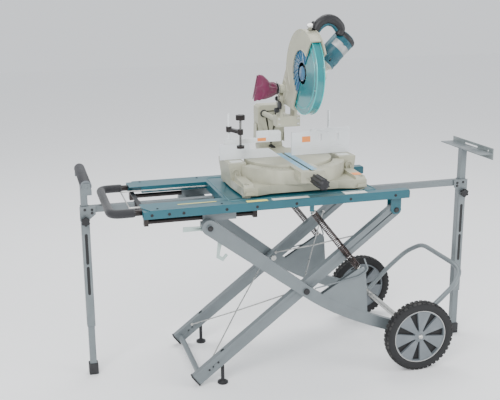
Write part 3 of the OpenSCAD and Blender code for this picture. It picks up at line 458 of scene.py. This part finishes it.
# carrying handle: foam over a bent tube
lo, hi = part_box("handle_grip")
grip_r = (hi.z - lo.z) / 2 * 1000
hy = 48
hz = (lo.z + hi.z) / 2 * 1000
hx = (lo.x - corner.x) * 1000 + grip_r
path = rounded([T(-34, hy, hz), T(hx, hy, hz), T(hx, table_w - hy, hz), T(-34, table_w - hy, hz)], 82, 14)
Kit().tube(path, grip_r, 28).done("foam_grip", "table", M["foam"], replaces=("handle_grip",), slot="foam")
k = Kit()
for y in (hy, table_w - hy):
    k.lathe([(13.2, 0), (16.5, 0.5), (17, 6), (13.2, 7)], T(-34, y, hz), X, 32)
k.done("grip_collars", "table", M["black_plastic"])

# ---- legs, arms and braces ------------------------------------------------------------------
leg_pivot = (table_l - 46, top_mm - 93)
arm_pivot = (269, top_mm - 93)
lo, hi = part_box("axle")
axle = ((lo.x + hi.x) / 2 * 1000 - corner.x * 1000, (lo.z + hi.z) / 2 * 1000)
lo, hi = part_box("scissor_bolts")
cross = ((lo.x + hi.x) / 2 * 1000 - corner.x * 1000, (lo.z + hi.z) / 2 * 1000)
slope = atan2(leg_pivot[1] - cross[1], leg_pivot[0] - cross[0])


def on_leg(s, y, lift=0.0):
    return T(leg_pivot[0] - s * cos(slope) - lift * sin(slope), y,
             leg_pivot[1] - s * sin(slope) + lift * cos(slope))


leg_bolts, arm_bolts, wires = Kit(), Kit(), Kit()


def leg_details(y, s):
    leg_bolts.bolt(on_leg(0, y(25), 0), (0, s, 0), 8, 6)
    arm_bolts.bolt(T(arm_pivot[0], y(-9), arm_pivot[1]), (0, s, 0), 8, 6)
    leg_bolts.screw(on_leg(1060, y(32)), (0, s, 0), 5)
    leg_bolts.lathe([(0, 0), (13, 0), (14, 2), (13, 7), (9, 9), (0, 9.4)],
                    T(cross[0], y(0) + s * 1, cross[1]), (0, s, 0), 28)
    leg_bolts.screw(on_leg(1010, y(32)), (0, s, 0), 5)


sides(leg_details)
leg_bolts.done("leg_bolts", "legs", M["black_plastic"])
arm_bolts.done("arm_bolts", "slider", M["black_plastic"])
inner = 66
for a, b in ((200, 500), (590, 1030)):
    for s0, s1 in ((a, b), (b, a)):
        p, q = on_leg(s0, inner, 14), on_leg(s1, table_w - inner, 14)
        lift = Vector((-sin(slope), 0, cos(slope))) * (0.004 if s0 > s1 else -0.004)
        wires.tube([p, (p + q) / 2 + lift, q], 3.0, 8)
        for w, yy in ((p, 1), (q, -1)):
            wires.lathe([(0, 0), (7, 0), (7, 3), (0, 3)], w - Vector((0, 0.003 * yy, 0)), (0, yy, 0), 18)
wires.done("brace_wires", "legs", M["zinc"])

k = Kit()
for y, s in ((-1, -1), (table_w + 1, 1)):
    base = T(cross[0] + 40, y - s * 4, cross[1] + 8)
    k.tube(rounded([base, T(cross[0] + 240, y, cross[1] + 44), T(cross[0] + 282, y, cross[1] + 70),
                    T(cross[0] + 262, y, cross[1] + 122)], 14), 3.2, 10)
k.done("safety_wires", "arms", M["grey_tube"])

# return bar over the wheels, one bent tube
kx, kz = axle
ky = 29
side_pts = [(0, 0, 0), (120, 110, -14), (215, 190, -8), (262, 232, 40), (262, 245, 96)]
left = [T(kx + a, ky + c, kz + b) for a, b, c in side_pts]
right = [T(kx + a, table_w - ky - c, kz + b) for a, b, c in side_pts][::-1]
Kit().tube(rounded(left + right, 44, 8), 11, 20).done("return_bar", "arms", M["grey_tube"],
                                                     replaces=("kick_bar",), slot="grey_tube")

# coil springs
lo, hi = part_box("coil_springs")
spring_top = Vector((lo.x, 0, hi.z)) + Vector((0.010, 0, -0.008))
spring_low = Vector((hi.x, 0, lo.z)) + Vector((-0.010, 0, 0.008))
coil_r = 0.0125
k, ends = Kit(), Kit()
for y in (15, table_w - 15):
    a = Vector((spring_top.x, T(0, y, 0).y, spring_top.z))
    b = Vector((spring_low.x, T(0, y, 0).y, spring_low.z))
    d = (b - a).normalized()
    side_x = Y
    side_y = d.cross(side_x)
    turns, per = 38, 14
    coil = [a + (b - a) * i / (turns * per) +
            (side_x * cos(2 * pi * i / per) + side_y * sin(2 * pi * i / per)) * coil_r
            for i in range(turns * per + 1)]
    k.tube(coil, 2.5, 7)
    for p, q in ((a, a - d * 0.022), (b, b + d * 0.028)):
        ends.tube([p + d * 0.004 * (1 if p is a else -1), q], 4.0, 10)
    ends.lathe([(0, -2), (11.5, -2), (12, 0), (11.5, 4), (0, 4)], a, -d, 24)
    ends.lathe([(0, -2), (11.5, -2), (12, 0), (11.5, 4), (0, 4)], b, d, 24)
coils = k.done("coils", "arms", M["spring_steel"], replaces=("coil_springs",), slot="spring_steel")
hooks = ends.done("spring_ends", "arms", M["zinc"])
for o in (coils, hooks):
    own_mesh(o)

# ---- wheels ---------------------------------------------------------------------------------
def wheel(end, body, outward):
    lo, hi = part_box("tyre_" + end)
    c = (lo + hi) / 2
    r, w = (hi.z - lo.z) / 2 * 1000, (hi.y - lo.y) * 1000
    rim, half = r - 39, w / 2
    axis = Vector((0, outward, 0))
    prof = [(rim, -half + 5), (rim + 6, -half + 1.5), (rim + 14, -half), (rim + 24, -half + 0.4),
            (r - 8, -half + 3), (r - 5, -half + 8), (r - 3.5, -half + 14), (r - 3, 0), (r - 3.5, half - 14),
            (r - 5, half - 8), (r - 8, half - 3), (rim + 24, half - 0.4), (rim + 14, half),
            (rim + 6, half - 1.5), (rim, half - 5)]
    t = Kit().ring(prof, c, axis, 96)
    x = axis.orthogonal().normalized()
    y = axis.cross(x)
    blocks = 44
    for i in range(blocks):
        for lane, (h0, h1) in enumerate(((-20, -9), (-5.5, 5.5), (9, 20))):
            a = 2 * pi * (i + 0.5 * (lane == 1)) / blocks
            ex = x * cos(a) + y * sin(a)
            ey = axis.cross(ex)
            sunk = 0 if lane == 1 else 1.9
            block = [(-7.6, h0), (7.6, h0 + 1.5), (7.6, h1), (-7.6, h1 - 1.5)]
            t.prism(block, c + ex * (r - 4.6 - sunk) / 1000, ey, axis, ex, 4.4)
    t.done("tyre_" + end + "_tread", body, M["tyre"], replaces=("tyre_" + end,), slot="tyre")
    hub = Kit()
    hub.ring([(rim, -16), (rim, 16), (rim - 3, 17.5), (rim - 7, 16), (rim - 8, 5), (rim - 8, -5),
              (rim - 7, -16), (rim - 3, -17.5)], c, axis, 96)
    # Near-black web between the spokes: painted shade for the hub's recesses.
    web = Kit().ring([(14, -3), (rim - 6, -3), (rim - 6, 3), (14, 3)], c, axis, 96)
    web.done("hub_" + end + "_web", body, painted_shade_and_print)
    hub.ring([(10.2, -19), (20, -19), (26, -15), (28, -4), (28, 4), (26, 15), (20, 19), (10.2, 19)], c, axis, 48)
    spokes = 7
    for i in range(spokes):
        a = 2 * pi * i / spokes + 0.2
        for s in (-1, 1):
            ex = x * cos(a) + y * sin(a)
            ey = axis.cross(ex)
            n = 5
            outer = [((rim - 6) * cos(radians(-16 + 32 * j / n)), (rim - 6) * sin(radians(-16 + 32 * j / n)))
                     for j in range(n + 1)]
            hub.prism([(24, -8)] + outer + [(24, 8)], c + axis * (2 if s > 0 else -15) / 1000, ex, ey, axis, 13)
    hub.done("hub_" + end + "_spoked", body, M["hub_grey"], 0.7, replaces=("hub_" + end,), slot="hub_grey")
    nut = Kit().lathe([(0, 0), (11, 0), (11.5, 1), (9, 6), (5, 8.5), (0, 9.2)], c + axis * 0.019, axis, 28)
    nut.ring([(rim - 2.5, 17), (rim + 1, 17.6), (rim + 1, 16)], c, axis, 96)
    nut.done("axle_cap_" + end, body, M["zinc"])


wheel("front", "wheel_front", -1)
wheel("rear", "wheel_rear", 1)

# ---- work supports --------------------------------------------------------------------------
for end, y_post in (("left", table_w / 2 + 30), ("right", table_w / 2 - 12)):
    lo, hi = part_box("ext_" + end)
    px = (lo.x + 0.018) if end == "left" else (hi.x - 0.018)
    xm = (px - corner.x) * 1000
    slots, plates, knobs = Kit(), Kit(), Kit()
    face = y_post - 18
    # Thin dark plates on the post face: painted shade standing in for open slots.
    for z0, z1 in ((384, 502), (524, 650)):
        n = 6
        shape = arc(6.5, 180, 360, n) + [(a, b + z1 - z0) for a, b in arc(6.5, 0, 180, n)]
        slots.prism([(a, b) for a, b in shape], T(xm, face - 0.35, z0), X, Z, Y, 0.5)
    slots.done("post_slots_" + end, "ext_" + end, painted_shade_and_print)
    sgn = 1 if end == "left" else -1
    plates.prism([(-22, 2), (-22, -60), (14 * sgn, -60), (46 * sgn, -34), (46 * sgn, 2)] if end == "left" else
                 [(22, 2), (46 * sgn, 2), (46 * sgn, -34), (-14, -60), (22, -60)],
                 T(xm, face - 3, top_mm - 37), X, Z, Y, 3)
    plates.done("elbow_plates_" + end, "ext_" + end, M["grey_tube"], 0.6)
    for dx, dz in ((0, -12), (30 * sgn, -14), (30 * sgn, -28)):
        knobs.bolt(T(xm + dx, face - 3, top_mm - 37 + dz), (0, -1, 0), 4, 4)
    knobs.done("elbow_bolts_" + end, "ext_" + end, M["black_plastic"])
    lo2, hi2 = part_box("lower_leg_" + end)
    foot = Kit().box(Vector((lo2.x - 0.001, lo2.y - 0.001, 0)), Vector((hi2.x + 0.001, hi2.y + 0.001, 0.052)))
    foot.done("post_foot_" + end, "lower_leg_" + end, M["black_plastic"], 4)

lo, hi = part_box("roller")
rc = (lo + hi) / 2
rr = (hi.z - lo.z) / 2 * 1000
k = Kit()
for s in (-1, 1):
    k.lathe([(rr * 0.98, -3), (rr * 1.0, 0), (rr * 0.9, 2.5), (9, 3), (8, 1), (0, 1)],
            Vector((rc.x, rc.y + s * (hi.y - lo.y) / 2 - s * 0.013, rc.z)), (0, s, 0), 36)
k.done("roller_ends", "roller", M["hub_grey"])
k = Kit()
for s in (-1, 1):
    k.bolt(Vector((rc.x, rc.y + s * 0.1825, rc.z)), (0, s, 0), 5, 5)
    k.prism([(-21, -36), (21, -36), (21, -14), (15, 4), (-15, 4), (-21, -14)],
            Vector((rc.x, rc.y + s * 0.1785 - 0.0015, rc.z)), X, Z, Y, 3)
k.done("roller_cheeks", "riser_left", M["grey_tube"], 0.6)

# ---- saw base -------------------------------------------------------------------------------
k, dark, pale, orange = Kit(), Kit(), Kit(), Kit()
for u, v in ((-255, -228), (255, -228), (-262, 70), (262, 70)):
    k.bolt(S(u, v, -70), Z, 7, 8)
for a in range(-48, 49, 4):
    ang = radians(a)
    long = 13 if a % 12 == 0 else 7
    d = Vector((sin(ang), -cos(ang), 0))
    p = S(0, 0, -9.9) + d * 0.210
    dark.prism([(-0.6, 0), (0.6, 0), (0.6, long), (-0.6, long)], p, d.cross(Z), d, Z, 0.35)
k.done("base_bolts", "table", M["zinc"])
dark.done("mitre_scale", "table", painted_shade_and_print)
for s in (-1, 1):
    pale.box(S(s * 250 - 26, -60, 0), S(s * 250 + 26, -20, 0.4))
pale.done("base_labels", "table", label_pale)
orange.box(S(232, -212, -57), S(268, -150, -55.6)).done("base_warning", "table", label_orange)
# cast webs and lugs along the front of the base
k = Kit()
for s in (-1, 1):
    k.prism([(0, 0), (44, 0), (40, 14), (4, 14)], S(s * 250 - 22, -254, -100), X, Z, -Y, 9)
    for u in (226, 246, 266):
        k.prism([(0, 0), (34, 0), (0, 34)], S(s * u - 2, -84.5, -68), -Y, Z, X, 4)
    k.prism(arc(20, 0, 180, 12) + arc(12, 180, 0, 12), S(s * 262, -84, -40), X, Z, -Y, 6)
k.done("base_webs", "table", M["cream_cast"], 1.2)

# turntable face details
k = Kit()
for v in (-280, -200, -90, 60):
    for u in (-17, 21):
        k.screw(S(u, v, 0), Z, 3.4, 1.1)
k.done("board_screws", "turntable", M["zinc"])
k = Kit()
for s in (-1, 1):
    k.prism([(0, 0), (60, 0), (52, 18), (8, 18)], S(s * 51, -262, -34), -Y, Z, X * s, 5)
k.prism(arc(34, 200, 340, 14) + arc(26, 340, 200, 14), S(0, -330, -16), X, Z, -Y, 5)
k.done("nose_webs", "turntable", M["cream_cast"], 0.8)
k = Kit()
for s in (-1, 1):
    k.prism([(-1.2, -4), (1.2, -4), (0, 6)], S(s * 30, -262, -8.8 + 8.9), X, Y, Z, 0.3)
k.done("mitre_pointers", "turntable", label_orange)

# fences
k = Kit()
k.box(S(70, -0.6, 58), S(110, 0, 84))
k.done("fence_label_right", "table", label_orange, 0.2)
Kit().box(S(-139, -0.6, 75), S(-99, 0, 90)).done("fence_label_left", "sub_fence", label_orange, 0.2)
k = Kit()
for u in (-290, -210, 226, 286):
    k.bolt(S(u, 40, 6), Z, 5, 6)
k.done("fence_bolts", "table", M["zinc"])
k = Kit()
for u0, u1 in ((30, 66), (118, 144)):
    for i in range(3):
        k.box(S(u0, -0.35, 20 + i * 9), S(u1, 0, 21.2 + i * 9))
k.done("fence_lines", "table", label_pale)

# ---- blade case: cast upper guard and arm ---------------------------------------------------
def blade_arc(u, radius, angles):
    """Points round the blade's centre, u and radius in mm, angles in degrees."""
    return [arbor + Vector((u / 1000, radius / 1000 * cos(radians(a)), radius / 1000 * sin(radians(a))))
            for a in angles]


k = Kit()
for a in range(-50, 130, 20):
    d = Vector((0, cos(radians(a)), sin(radians(a))))
    k.screw(arbor + d * 0.170 + X * -0.026, -X, 3.6, 1.6)
k.done("case_screws", "head", M["zinc"])
k = Kit()
for s in (-1, 1):
    k.tube(blade_arc(s * 23.5, 178, range(-60, 131, 5)), 3.0, 10)
k.tube(blade_arc(-25.5, 98, range(-60, 131, 5)), 2.4, 10)
k.done("case_rims", "head", M["cream_cast"])
# ribs on the arm
k = Kit()
pivot = S(0, 10, 260)
for s in (-1, 1):
    for i, (p, q) in enumerate((((168, 20), (236, -100)), ((150, -20), (222, -128)), ((128, -60), (206, -150)),
                                ((168, 20), (128, -60)), ((200, -36), (160, -90)))):
        k.tube([H(s * 24.2, *p), H(s * 24.2, *q)], 4, 10)
    k.ring([(17, 0), (30, 0), (30, 5), (26, 7), (19, 7), (17, 5)], pivot + X * s * 0.0205, X * s, 40)
k.done("arm_ribs", "head", M["cream_cast"])
k = Kit()
for s in (-1, 1):
    k.bolt(pivot + X * s * 0.046, X * s, 8, 7)
k.done("pivot_nuts", "carriage", M["black_plastic"])
# dark stop and lever where the arm meets the carriage
k = Kit()
k.prism([(-14, -16), (16, -12), (20, 8), (4, 18), (-16, 10)], S(-41, -30, 236), Y, Z, -X, 10)
k.lathe([(0, 0), (11, 0), (12, 3), (12, 16), (9, 19), (0, 19)], S(-46, -16, 212), -X, 28)
k.done("stop_block", "carriage", M["black_plastic"], 1.5)

# vaned cover over the blade's middle
k = Kit()
for i in range(11):
    a = radians(-46 + i * 16)
    d = Vector((0, cos(a), sin(a)))
    e = X.cross(d)
    k.tube([arbor - X * 0.0205 + d * 0.052 + e * 0.012, arbor - X * 0.0215 + d * 0.080,
            arbor - X * 0.0205 + d * 0.108 - e * 0.012], 2.6, 8)
k.done("cover_vanes", "head", M["blue_cover"])
k = Kit().lathe([(0, 0), (30, 0), (31, 2), (27, 6), (12, 8), (0, 8.4)], arbor - X * 0.0165, -X, 48)
k.done("blade_nut_cover", "head", M["blue_cover"])

# lower guard: clear teal shell
k = Kit()
guard_r = 167
guard_bead_r = 142
for s in (-1, 1):
    k.tube(blade_arc(s * 15.5, guard_r, range(110, 311, 5)), 2.2, 8)
    k.tube(blade_arc(s * 16.6, guard_bead_r, range(112, 309, 5)), 1.6, 8)
guard_edge = material("guard_edge", (0.02, 0.42, 0.42), 0.25, 0, 0.1, 20, 900, 0.05, coat=0.5)
k.done("guard_beads", "lower_guard", guard_edge, slot="guard_teal")
k = Kit()
for a in (120, 160, 200, 240, 280):
    d = Vector((0, cos(radians(a)), sin(radians(a))))
    k.screw(arbor + d * 0.155 - X * 0.0166, -X, 3, 1.2)
k.done("guard_screws", "lower_guard", M["zinc"])

# ---- motor and handle -----------------------------------------------------------------------
m_axis = Vector((1, 0, 1)).normalized()
m_start = H(30, 0, 0)


def on_motor(s, a=0.0, r=0.0):
    side = Vector((-1, 0, 1)).normalized()
    return m_start + m_axis * s / 1000 + (side * cos(a) + Y * sin(a)) * r / 1000


k = Kit()
k.ring([(43, 0), (47, 0), (47.5, 2), (47.5, 8), (47, 10), (43, 10)], on_motor(62), m_axis, 64)
for i in range(24):
    a = 2 * pi * i / 24
    k.tube([on_motor(80, a, 46), on_motor(104, a, 46)], 1.3, 6)
k.done("motor_ribs", "head", M["teal_plastic"])
k = Kit()
k.lathe([(46.6, 0), (47.2, 3), (46.6, 12), (42, 19), (30, 23), (12, 24.5), (0, 24.8)], on_motor(184), m_axis, 64)
k.done("motor_end", "head", M["black_plastic"])
# Dark bars on the motor's end cap: painted shade standing in for open vents.
k = Kit()
for i in range(8):
    a = 2 * pi * i / 8 + 0.2
    p, q = on_motor(205.5, a, 16), on_motor(203.5, a, 31)
    k.tube([p, q], 2.0, 8)
k.done("motor_vents", "head", painted_shade_and_print)
k = Kit()
n = 10
for i in range(n):
    a0, a1 = radians(196 + i * 13), radians(196 + (i + 1) * 13)
    p = [on_motor(s, a, 46.5) for s, a in ((132, a0), (132, a1), (162, a1), (162, a0))]
    q = [on_motor(s, a, 45) for s, a in ((132, a0), (132, a1), (162, a1), (162, a0))]
    k.add(q + p, [[4, 5, 6, 7], [3, 2, 1, 0], [0, 1, 5, 4], [2, 3, 7, 6]] + ([[0, 4, 7, 3]] if i == 0 else []) +
          ([[1, 2, 6, 5]] if i == n - 1 else []))
k.done("motor_plate", "head", M["stop_plate"])
# gear housing screws
k = Kit()
for i in range(4):
    a = pi / 4 + i * pi / 2
    k.screw(H(78, 24 * cos(a), 24 * sin(a)), X, 3.5, 2)
k.done("gear_screws", "head", M["zinc"])

hv = -26
grip = [(26, 176), (44, 206), (76, 220), (112, 210), (138, 180), (130, 154)]
pts = rounded([H(a, hv, b) for a, b in grip], 26, 7)
n = len(pts)
radii = [17.5 + 2.6 * sin(pi * i / (n - 1)) for i in range(n)]
Kit().tube(pts, 15, 24, radii=radii).done("switch_handle", "head", M["black_plastic"],
                                         replaces=("handle",), slot="black_plastic")
# teal inner shell of the handle and its brace to the guard case
pts = rounded([H(34, hv, 168), H(54, hv, 191), H(80, hv, 203), H(106, hv, 194), H(122, hv, 172)], 18, 6)
Kit().tube(pts, 11.5, 16, squash=0.8).done("handle_core", "head", M["teal_plastic"])
k = Kit()
k.tube([H(4, hv, 172), H(16, hv, 192), H(24, hv, 204)], 12, 18)
k.done("handle_root", "head", M["black_plastic"])
k = Kit().lathe([(7, 0), (7.5, 1), (7.5, 13), (6.5, 15), (0, 15.5)], H(0, hv - 12, 178), (-0.3, -0.6, 1), 24)
k.lathe([(0, 0), (12, 0), (13, 3), (11, 9), (0, 10)], H(-3, hv - 20, 190), (-0.3, -0.6, 1), 24)
k.done("lock_off_knob", "head", M["zinc"])

# ---- dust bag: cloth blown out from a flat sewn pouch --------------------------------------
lo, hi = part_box("dust_bag")
bag_c = (lo + hi) / 2
neck = Vector((hi.x, bag_c.y, bag_c.z + 0.002))
rows, cols = ((16, 52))
length = (hi.x - lo.x) - 0.014
bag = Kit()
rings = []
for i in range(rows + 1):
    t = i / rows
    grow = min(1.0, t / 0.75) ** 0.8
    half_h = 0.019 + (0.056 - 0.019) * grow
    if t < 0.6:
        half_d = 0.019 + (0.036 - 0.019) * sin(min(1, t / 0.6) * pi / 2)
    else:
        half_d = 0.036 * (1 - ((t - 0.6) / 0.4) ** 2 * 0.86)
    c = neck + Vector((-0.010 - length * t, 0, 0.006 * t))
    rings.append([c + Vector((0.010 * sin(2 * pi * j / cols) * t, half_d * cos(2 * pi * j / cols),
                              half_h * sin(2 * pi * j / cols))) for j in range(cols)])
verts = [p for r in rings for p in r]
faces = [[i * cols + j, i * cols + (j + 1) % cols, (i + 1) * cols + (j + 1) % cols, (i + 1) * cols + j]
         for i in range(rows) for j in range(cols)]
faces += [list(range(cols))[::-1], [rows * cols + j for j in range(cols)]]
bag.add(verts, faces)
bag_obj = bag.done("dust_bag_cloth", "head", M["bag_cloth"], replaces=("dust_bag",), slot="bag_cloth", angle=70)
bag_obj.parent = None
group = bag_obj.vertex_groups.new(name="held")
pinned = [v.index for v in bag_obj.data.vertices
          if v.co.x > neck.x - 0.014 or v.co.x < neck.x - 0.008 - length]
group.add(pinned, 1.0, "REPLACE")
rest = [v.co.copy() for v in bag_obj.data.vertices]
cloth = bag_obj.modifiers.new("cloth", "CLOTH")
cs = cloth.settings
cs.quality = 6
cs.mass = 0.25
cs.use_pressure = True
cs.uniform_pressure_force = 3.0
cs.tension_stiffness = cs.compression_stiffness = 18
cs.bending_stiffness = 0.6
cs.shrink_min = -0.10
cs.vertex_group_mass = "held"
cs.effector_weights.gravity = 0.25
for f in range(1, 21):
    bpy.context.scene.frame_set(f)
ev = bag_obj.evaluated_get(bpy.context.evaluated_depsgraph_get())
blown = [v.co.copy() for v in ev.data.vertices]
bag_obj.modifiers.remove(cloth)
bpy.context.scene.frame_set(1)
for v, a, b in zip(bag_obj.data.vertices, rest, blown):
    move = b - a
    if move.length > 0.016:
        move *= 0.016 / move.length
    v.co = a + move
for v in bag_obj.data.vertices:
    # creases that run from the gathered neck
    t = max(0.0, min(1.0, (neck.x - v.co.x) / length))
    ang = atan2(v.co.z - bag_c.z, v.co.y - bag_c.y)
    fold = sin(ang * 11 + 1.3 * sin(t * 5)) * 0.0024 * (1 - t) ** 1.5
    fold += sin(ang * 5 + t * 9) * 0.0012 * t * (1 - t) * 4
    d = Vector((0, v.co.y - bag_c.y, v.co.z - bag_c.z))
    if d.length > 1e-4:
        v.co += d.normalized() * fold
bag_obj.data.update()
sub = bag_obj.modifiers.new("smooth", "SUBSURF")
sub.levels = sub.render_levels = 2
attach(bag_obj, "head")
# seam at the closed end, gathered neck and wire clamp
k = Kit()
end_x = neck.x - 0.010 - length
seam = [Vector((end_x - 0.001 + 0.010 * s, bag_c.y, bag_c.z + 0.014 + 0.050 * s))
        for s in (-1, -0.5, 0, 0.5, 1)]
k.tube(seam, 2.4, 8)
k.done("bag_seam", "head", M["bag_cloth"])
k = Kit()
gathers = 26
prof = []
for i in range(gathers * 2):
    a = 2 * pi * i / (gathers * 2)
    r = 21.5 + (1.8 if i % 2 else -0.6)
    prof.append((r * cos(a), r * sin(a)))
k.prism(prof, neck - X * 0.013, Y, Z, X, 11)
k.done("bag_neck", "head", M["black_plastic"], 0.6)
k = Kit()
loop = [neck - X * 0.005 + Vector((0, 0.023 * cos(2 * pi * i / 28), 0.023 * sin(2 * pi * i / 28)))
        for i in range(28)]
k.tube(loop, 1.6, 8, closed=True)
k.tube(rounded([neck + Vector((-0.005, -0.012, 0.0195)), neck + Vector((-0.008, -0.010, 0.030)),
                neck + Vector((-0.008, 0.010, 0.030)), neck + Vector((-0.005, 0.012, 0.0195))], 5, 4), 1.5, 8)
k.done("bag_clamp", "head", M["zinc"])

# ---- bevel post and carriage ----------------------------------------------------------------
k = Kit()
for u in (-0.036, 0.036):
    base = S(u * 1000, 305, 160)
    k.ring([(12.4, 0), (18, 0), (18, 4), (15, 6), (12.4, 6)], base, Y, 32)
    k.ring([(12.4, 0), (18, 0), (18, 4), (15, 6), (12.4, 6)], S(u * 1000, 235, 160), -Y, 32)
k.done("rod_bushings", "bevel_post", M["black_plastic"])
k = Kit()
for s in (-1, 1):
    k.prism([(0, 0), (56, 0), (48, 90), (8, 90)], S(s * 66, 242, 20), Y, Z, X * s, 4)
k.done("post_webs", "bevel_post", M["cream_cast"], 1.2)
k = Kit()
for a in range(-50, 51, 5):
    d = Vector((sin(radians(a)), 0, cos(radians(a))))
    k.prism([(-0.5, 40), (0.5, 40), (0.5, 48 if a % 15 else 53), (-0.5, 48 if a % 15 else 53)],
            S(0, 305.2, 0), d.cross(Y), d, Y, 0.4)
k.done("bevel_scale", "bevel_post", painted_shade_and_print)
k = Kit()
for u in (-1, 1):
    k.screw(S(u * 44, -20, 172), -Y, 5, 2)
    k.screw(S(u * 44, -20, 148), -Y, 5, 2)
k.done("carriage_screws", "carriage", M["zinc"])

# ---- vise -----------------------------------------------------------------------------------
lo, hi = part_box("vise_screw")
vc = (lo + hi) / 2
k = Kit()
steps = 60
z0, z1 = lo.z + 0.014, hi.z - 0.024
thread = [Vector((vc.x + 0.0052 * cos(i * 1.05), vc.y + 0.0052 * sin(i * 1.05),
                  z0 + (z1 - z0) * i / (steps * 4)))
          for i in range(steps * 4 + 1)]
k.tube(thread, 0.7, 6)
k.done("vise_thread", "vise_screw", M["zinc"])

# ---- room: floor, light, camera -------------------------------------------------------------
floor_mat = bpy.data.materials.new("floor")
floor_mat.use_nodes = True
fb = floor_mat.node_tree.nodes["Principled BSDF"]
fb.inputs["Base Color"].default_value = (0.97, 0.97, 0.97, 1)
fb.inputs["Roughness"].default_value = 0.7
mesh = bpy.data.meshes.new("floor")
size = 14.0
mesh.from_pydata([(-size, -size, 0), (size, -size, 0), (size, size, 0), (-size, size, 0)], [], [(0, 1, 2, 3)])
mesh.materials.append(floor_mat)
floor = bpy.data.objects.new("floor", mesh)
bpy.context.scene.collection.objects.link(floor)

sky_strength = 1.05
world = bpy.data.worlds.new("studio")
bpy.context.scene.world = world
world.use_nodes = True
world.node_tree.nodes["Background"].inputs["Color"].default_value = (0.93, 0.96, 1.0, 1)
world.node_tree.nodes["Background"].inputs["Strength"].default_value = sky_strength


def area_light(name, at, target, size, power):
    data = bpy.data.lights.new(name, "AREA")
    data.shape = "RECTANGLE"
    data.size, data.size_y = size
    data.energy = power
    obj = bpy.data.objects.new(name, data)
    obj.location = at
    obj.rotation_euler = (Vector(target) - Vector(at)).to_track_quat("-Z", "Y").to_euler()
    bpy.context.scene.collection.objects.link(obj)


area_light("key", (-2.6, -3.4, 3.6), (0.1, 0, 0.7), (2.6, 2.0), 190)
area_light("fill", (3.6, -2.4, 2.2), (0.1, 0, 0.6), (2.4, 2.4), 85)
area_light("top", (0.2, 1.6, 4.4), (0.1, 0, 0.6), (3.4, 2.4), 120)

yaw, pitch, roll = 0.235, -0.247, -0.018
fwd = Vector((sin(yaw) * cos(pitch), cos(yaw) * cos(pitch), sin(pitch)))
right = Vector((cos(yaw), -sin(yaw), 0))
up = right.cross(fwd)
rx = right * cos(roll) + up * sin(roll)
ux = -right * sin(roll) + up * cos(roll)
cam_data = bpy.data.cameras.new("camera")
cam_data.sensor_width = 36
cam_data.lens = 57.08
cam_data.shift_x = 0.074
cam_data.shift_y = -0.0254
cam = bpy.data.objects.new("camera", cam_data)
bpy.context.scene.collection.objects.link(cam)
cam.matrix_world = Matrix.Translation(T(-432.8, -2995.1, 1665.6)) @ Matrix((rx, ux, -fwd)).transposed().to_4x4()
bpy.context.scene.camera = cam
